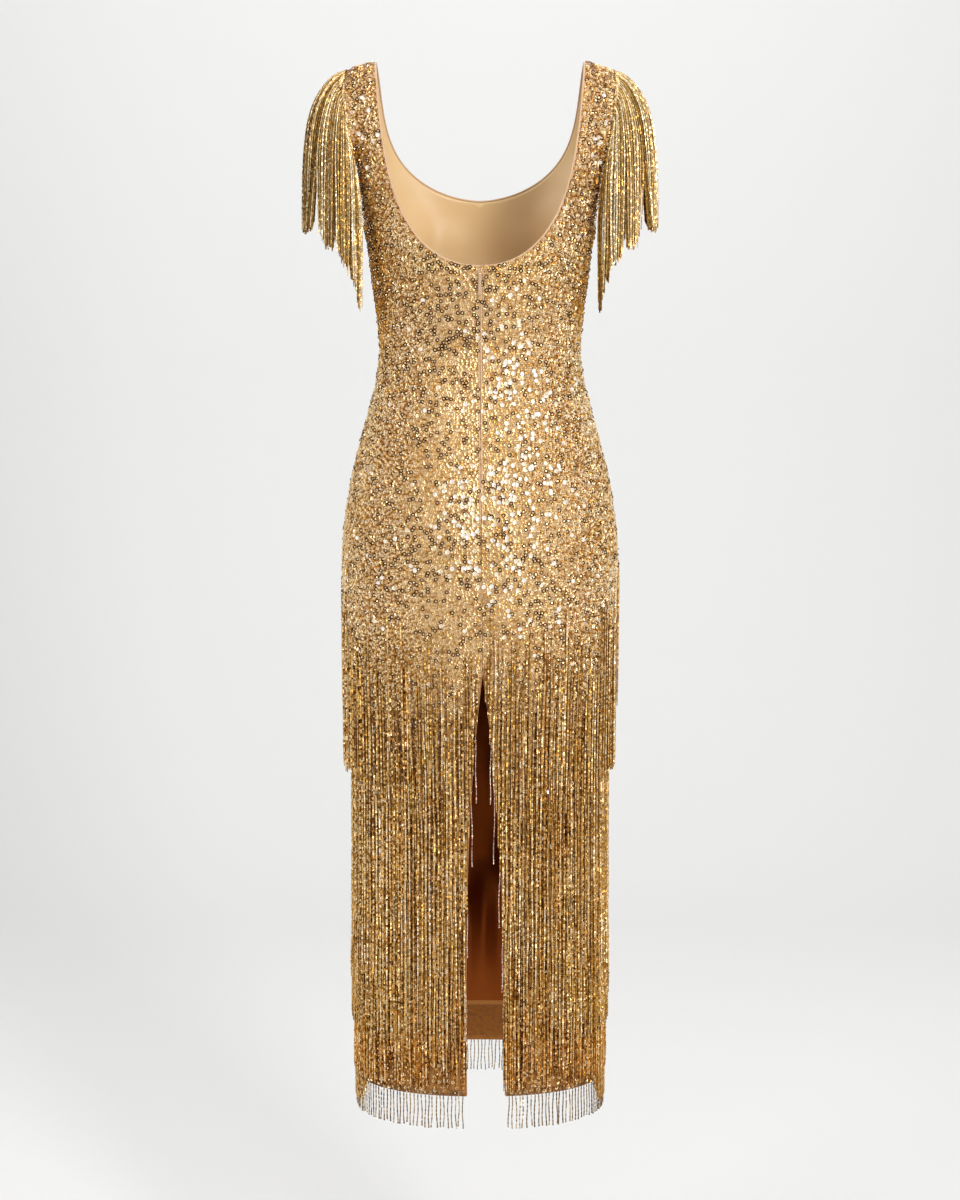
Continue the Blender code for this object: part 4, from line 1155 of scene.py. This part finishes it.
# Hand, height of the root and of the end, and how far into the slit the end hangs
swung = np.array([
    (LEFT, -0.812, -0.895, 0.0012), (RIGHT, -0.815, -0.896, 0.0012), (LEFT, -0.880, -0.975, 0.0016),
    (RIGHT, -0.870, -0.972, 0.0022), (RIGHT, -0.960, -1.052, 0.0018), (LEFT, -1.000, -1.090, 0.0008),
    (RIGHT, -1.050, -1.135, 0.0014), (RIGHT, -1.100, -1.190, 0.0012), (LEFT, -1.120, -1.205, 0.0012),
])
share = np.linspace(0, 1, 41)
hand, root, tip, into = (column[:, None] for column in swung.T)
height = root + (tip - root) * share
edge = seam_offset(root) + hand * (slit_half_width(root) - into * share**0.5)
paths = cloth(BACK, *place_of(edge, height), 0.0022)
paths[..., 0] += 0.0004 * np.sin(share * 9 + root * 50)
facing = np.broadcast_to((0.0, 1.0, 0.0), paths.shape)
strand_piece("slit_strands", paths, beaded(len(share), 0.00085, 0.00055), facing, rosy_beads)

# ------------------------------------------------------------
# Zip: an invisible nude zip down the centre back. Its tapes are sewn behind two folded edges of the net,
# which nearly meet over the teeth; its slider stands at the neck with a slim hinged pull.
# ------------------------------------------------------------

ZIP_TOP, ZIP_FOOT = -0.2470, -0.5868
ZIP_HALF_WIDTH = 0.0120
FOLD_HALF_WIDTH = 0.0012

nude_tape = satin_finish("nude zip tape", (0.66, 0.43, 0.26), (0.52, 0.32, 0.17), 0.5)
TAPE_DEPTH = SHELL_WALL + 2 * SEAM_GAP
zip_rows = np.linspace(ZIP_TOP + 0.0008, ZIP_FOOT, 61)
tape = bmesh.new()
verts, flat = flat_grid(tape, 8, 60)
height = zip_rows[np.round((1 - flat[:, 1]) * 30).astype(int)]
place = place_of(ZIP_HALF_WIDTH * flat[:, 0] + seam_offset(height), height)
points = smooth_form(BACK, *place) - way_out(BACK, *place) * TAPE_DEPTH
points[:, 1] -= crease_depth(BACK, place[0], height)
lay(tape, verts, points, flat * (ZIP_HALF_WIDTH, 0.17))
cloth_piece("zip_tape_woven", "zip_tape", "nude_satin", tape, 0.0007, (0.024, 0.344), nude_tape)

# Each folded edge of the net beside the zip, and the plain seam that carries on from it to the slit
height = np.linspace(ZIP_TOP, SLIT_TOP + 0.002, 160)
below = np.clip((ZIP_FOOT + 0.06 - height) / 0.06, 0, 1)
for hand, name in HANDS:
    place = place_of(seam_offset(height) + hand * (SEAM_GAP / 2 + FOLD_HALF_WIDTH), height)
    line = cloth(BACK, *place, 0.0001)
    line[:, 1] -= 0.0006 * below
    roll_piece(f"zip_fold_{name}", line, FOLD_HALF_WIDTH * (1 - 0.4 * below), way_out(BACK, *place), nude_roll)

# Teeth of the closed coil, seen only from inside
height = np.arange(ZIP_TOP - 0.004, ZIP_FOOT + 0.004, -0.0011)
side_of = np.where(np.arange(len(height)) % 2 == 0, 1, -1)
middle = smooth_form(BACK, *place_of(seam_offset(height), height)) - (0, TAPE_DEPTH + 0.0013, 0)
paths = middle[:, None] + side_of[:, None, None] * np.array([(-0.0017, 0, 0), (-0.0005, 0, 0), (0.0007, 0, 0)])
nylon = Finish("nude nylon coil", Roughness=0.35, Coat_Weight=0.2)
cloudy = nylon.noise(nylon.here(), 400.0)
nylon.surface(Base_Color=nylon.blend(cloudy, (0.62, 0.42, 0.27), (0.48, 0.31, 0.19)))
teeth = tubes(paths, 0.00042, np.broadcast_to((0.0, 1.0, 0.0), paths.shape))
joined_piece("zip_coil", "nude_zip", *teeth, nylon.material)

# ------------------------------------------------------------
# Zip slider and pull: painted metal, dyed nude to match. The slider body sits at the top of the teeth; the
# pull is a slim tab on its hinge pin, and hangs flat down the seam.
# ------------------------------------------------------------

enamel = Finish("nude enamel", Metallic=0.35, Coat_Weight=0.5, Coat_Roughness=0.15)
worn_off = enamel.noise(enamel.here(), 700.0, 4.0)
rubbed = worn_off.maths("SMOOTH_MIN", (worn_off - 0.52) * 6.0, 1.0, 0.2)
enamel.surface(
    Base_Color=enamel.blend(rubbed * 0.35, (0.66, 0.44, 0.28), (0.72, 0.62, 0.50)),
    Roughness=worn_off * 0.2 + 0.22,
    Normal=enamel.bump(worn_off, 0.15, 0.0001),
)
for node in ("zip_slider", "zip_pull"):
    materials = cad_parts[node].data.materials
    materials.clear()
    materials.append(enamel.material)

# ------------------------------------------------------------
# Studio: a pale floor that sweeps up behind the dress, one large soft light from the upper right of the
# camera, a weaker one from the left, and the camera a little above the waist, looking slightly down.
# ------------------------------------------------------------

FLOOR = -1.72

sweep = bmesh.new()
profile = [(4.5, FLOOR)] + [
    (-2.2 - 1.2 * math.sin(a), FLOOR + 1.2 - 1.2 * math.cos(a)) for a in np.linspace(0, math.pi / 2, 13)
] + [(-3.4, 4.0)]
line = [sweep.verts.new((-6, y, z)) for y, z in profile]
edges = [sweep.edges.new(pair) for pair in zip(line, line[1:])]
made = bmesh.ops.extrude_edge_only(sweep, edges=edges)
bmesh.ops.translate(sweep, vec=(12, 0, 0), verts=[v for v in made["geom"] if isinstance(v, bmesh.types.BMVert)])
bmesh.ops.recalc_face_normals(sweep, faces=sweep.faces)
mesh = bpy.data.meshes.new("backdrop")
sweep.to_mesh(mesh)
sweep.free()
mesh.shade_smooth()
paper = Finish("pale paper", Base_Color=(0.86, 0.86, 0.855, 1), Roughness=0.9, Specular_IOR_Level=0.1)
mesh.materials.append(paper.material)
add_object("backdrop", mesh)

world = bpy.data.worlds.new("studio")
bpy.context.scene.world = world
world.use_nodes = True
sky = world.node_tree.nodes["Background"].inputs
sky["Color"].default_value = (1.0, 1.0, 0.99, 1)
sky["Strength"].default_value = 0.32
bpy.context.scene.view_settings.view_transform = "Standard"


def soft_light(name, place, size, power, target=(0, 0, -0.6)):
    light = bpy.data.lights.new(name, "AREA")
    light.shape = "RECTANGLE"
    light.size, light.size_y = size
    light.energy = power
    lamp = add_object(name, light)
    lamp.location = place
    lamp.rotation_euler = (Vector(target) - Vector(place)).to_track_quat("-Z", "Y").to_euler()


soft_light("key", (-1.35, 2.8, 0.5), (0.55, 3.0), 66)
soft_light("fill", (2.1, 2.0, 0.5), (0.8, 2.2), 26)
soft_light("left side", (2.5, -0.1, -0.3), (1.6, 2.8), 14)
soft_light("right side", (-2.5, -0.1, -0.3), (1.6, 2.8), 17)
soft_light("top", (0, 0.9, 2.2), (1.6, 1.2), 16)
soft_light("backdrop wash", (0, -0.9, 2.9), (3.4, 0.8), 58, (0, -3.2, -0.9))

CAMERA_DIP = 8.34
lens = bpy.data.cameras.new("camera")
lens.lens = 70.0
lens.sensor_width = 36.0
lens.clip_end = 50
camera = add_object("camera", lens)
camera.location = (0.0, 2.9, -0.235)
camera.rotation_euler = (math.radians(90 - CAMERA_DIP), 0, math.radians(180))
bpy.context.scene.camera = camera
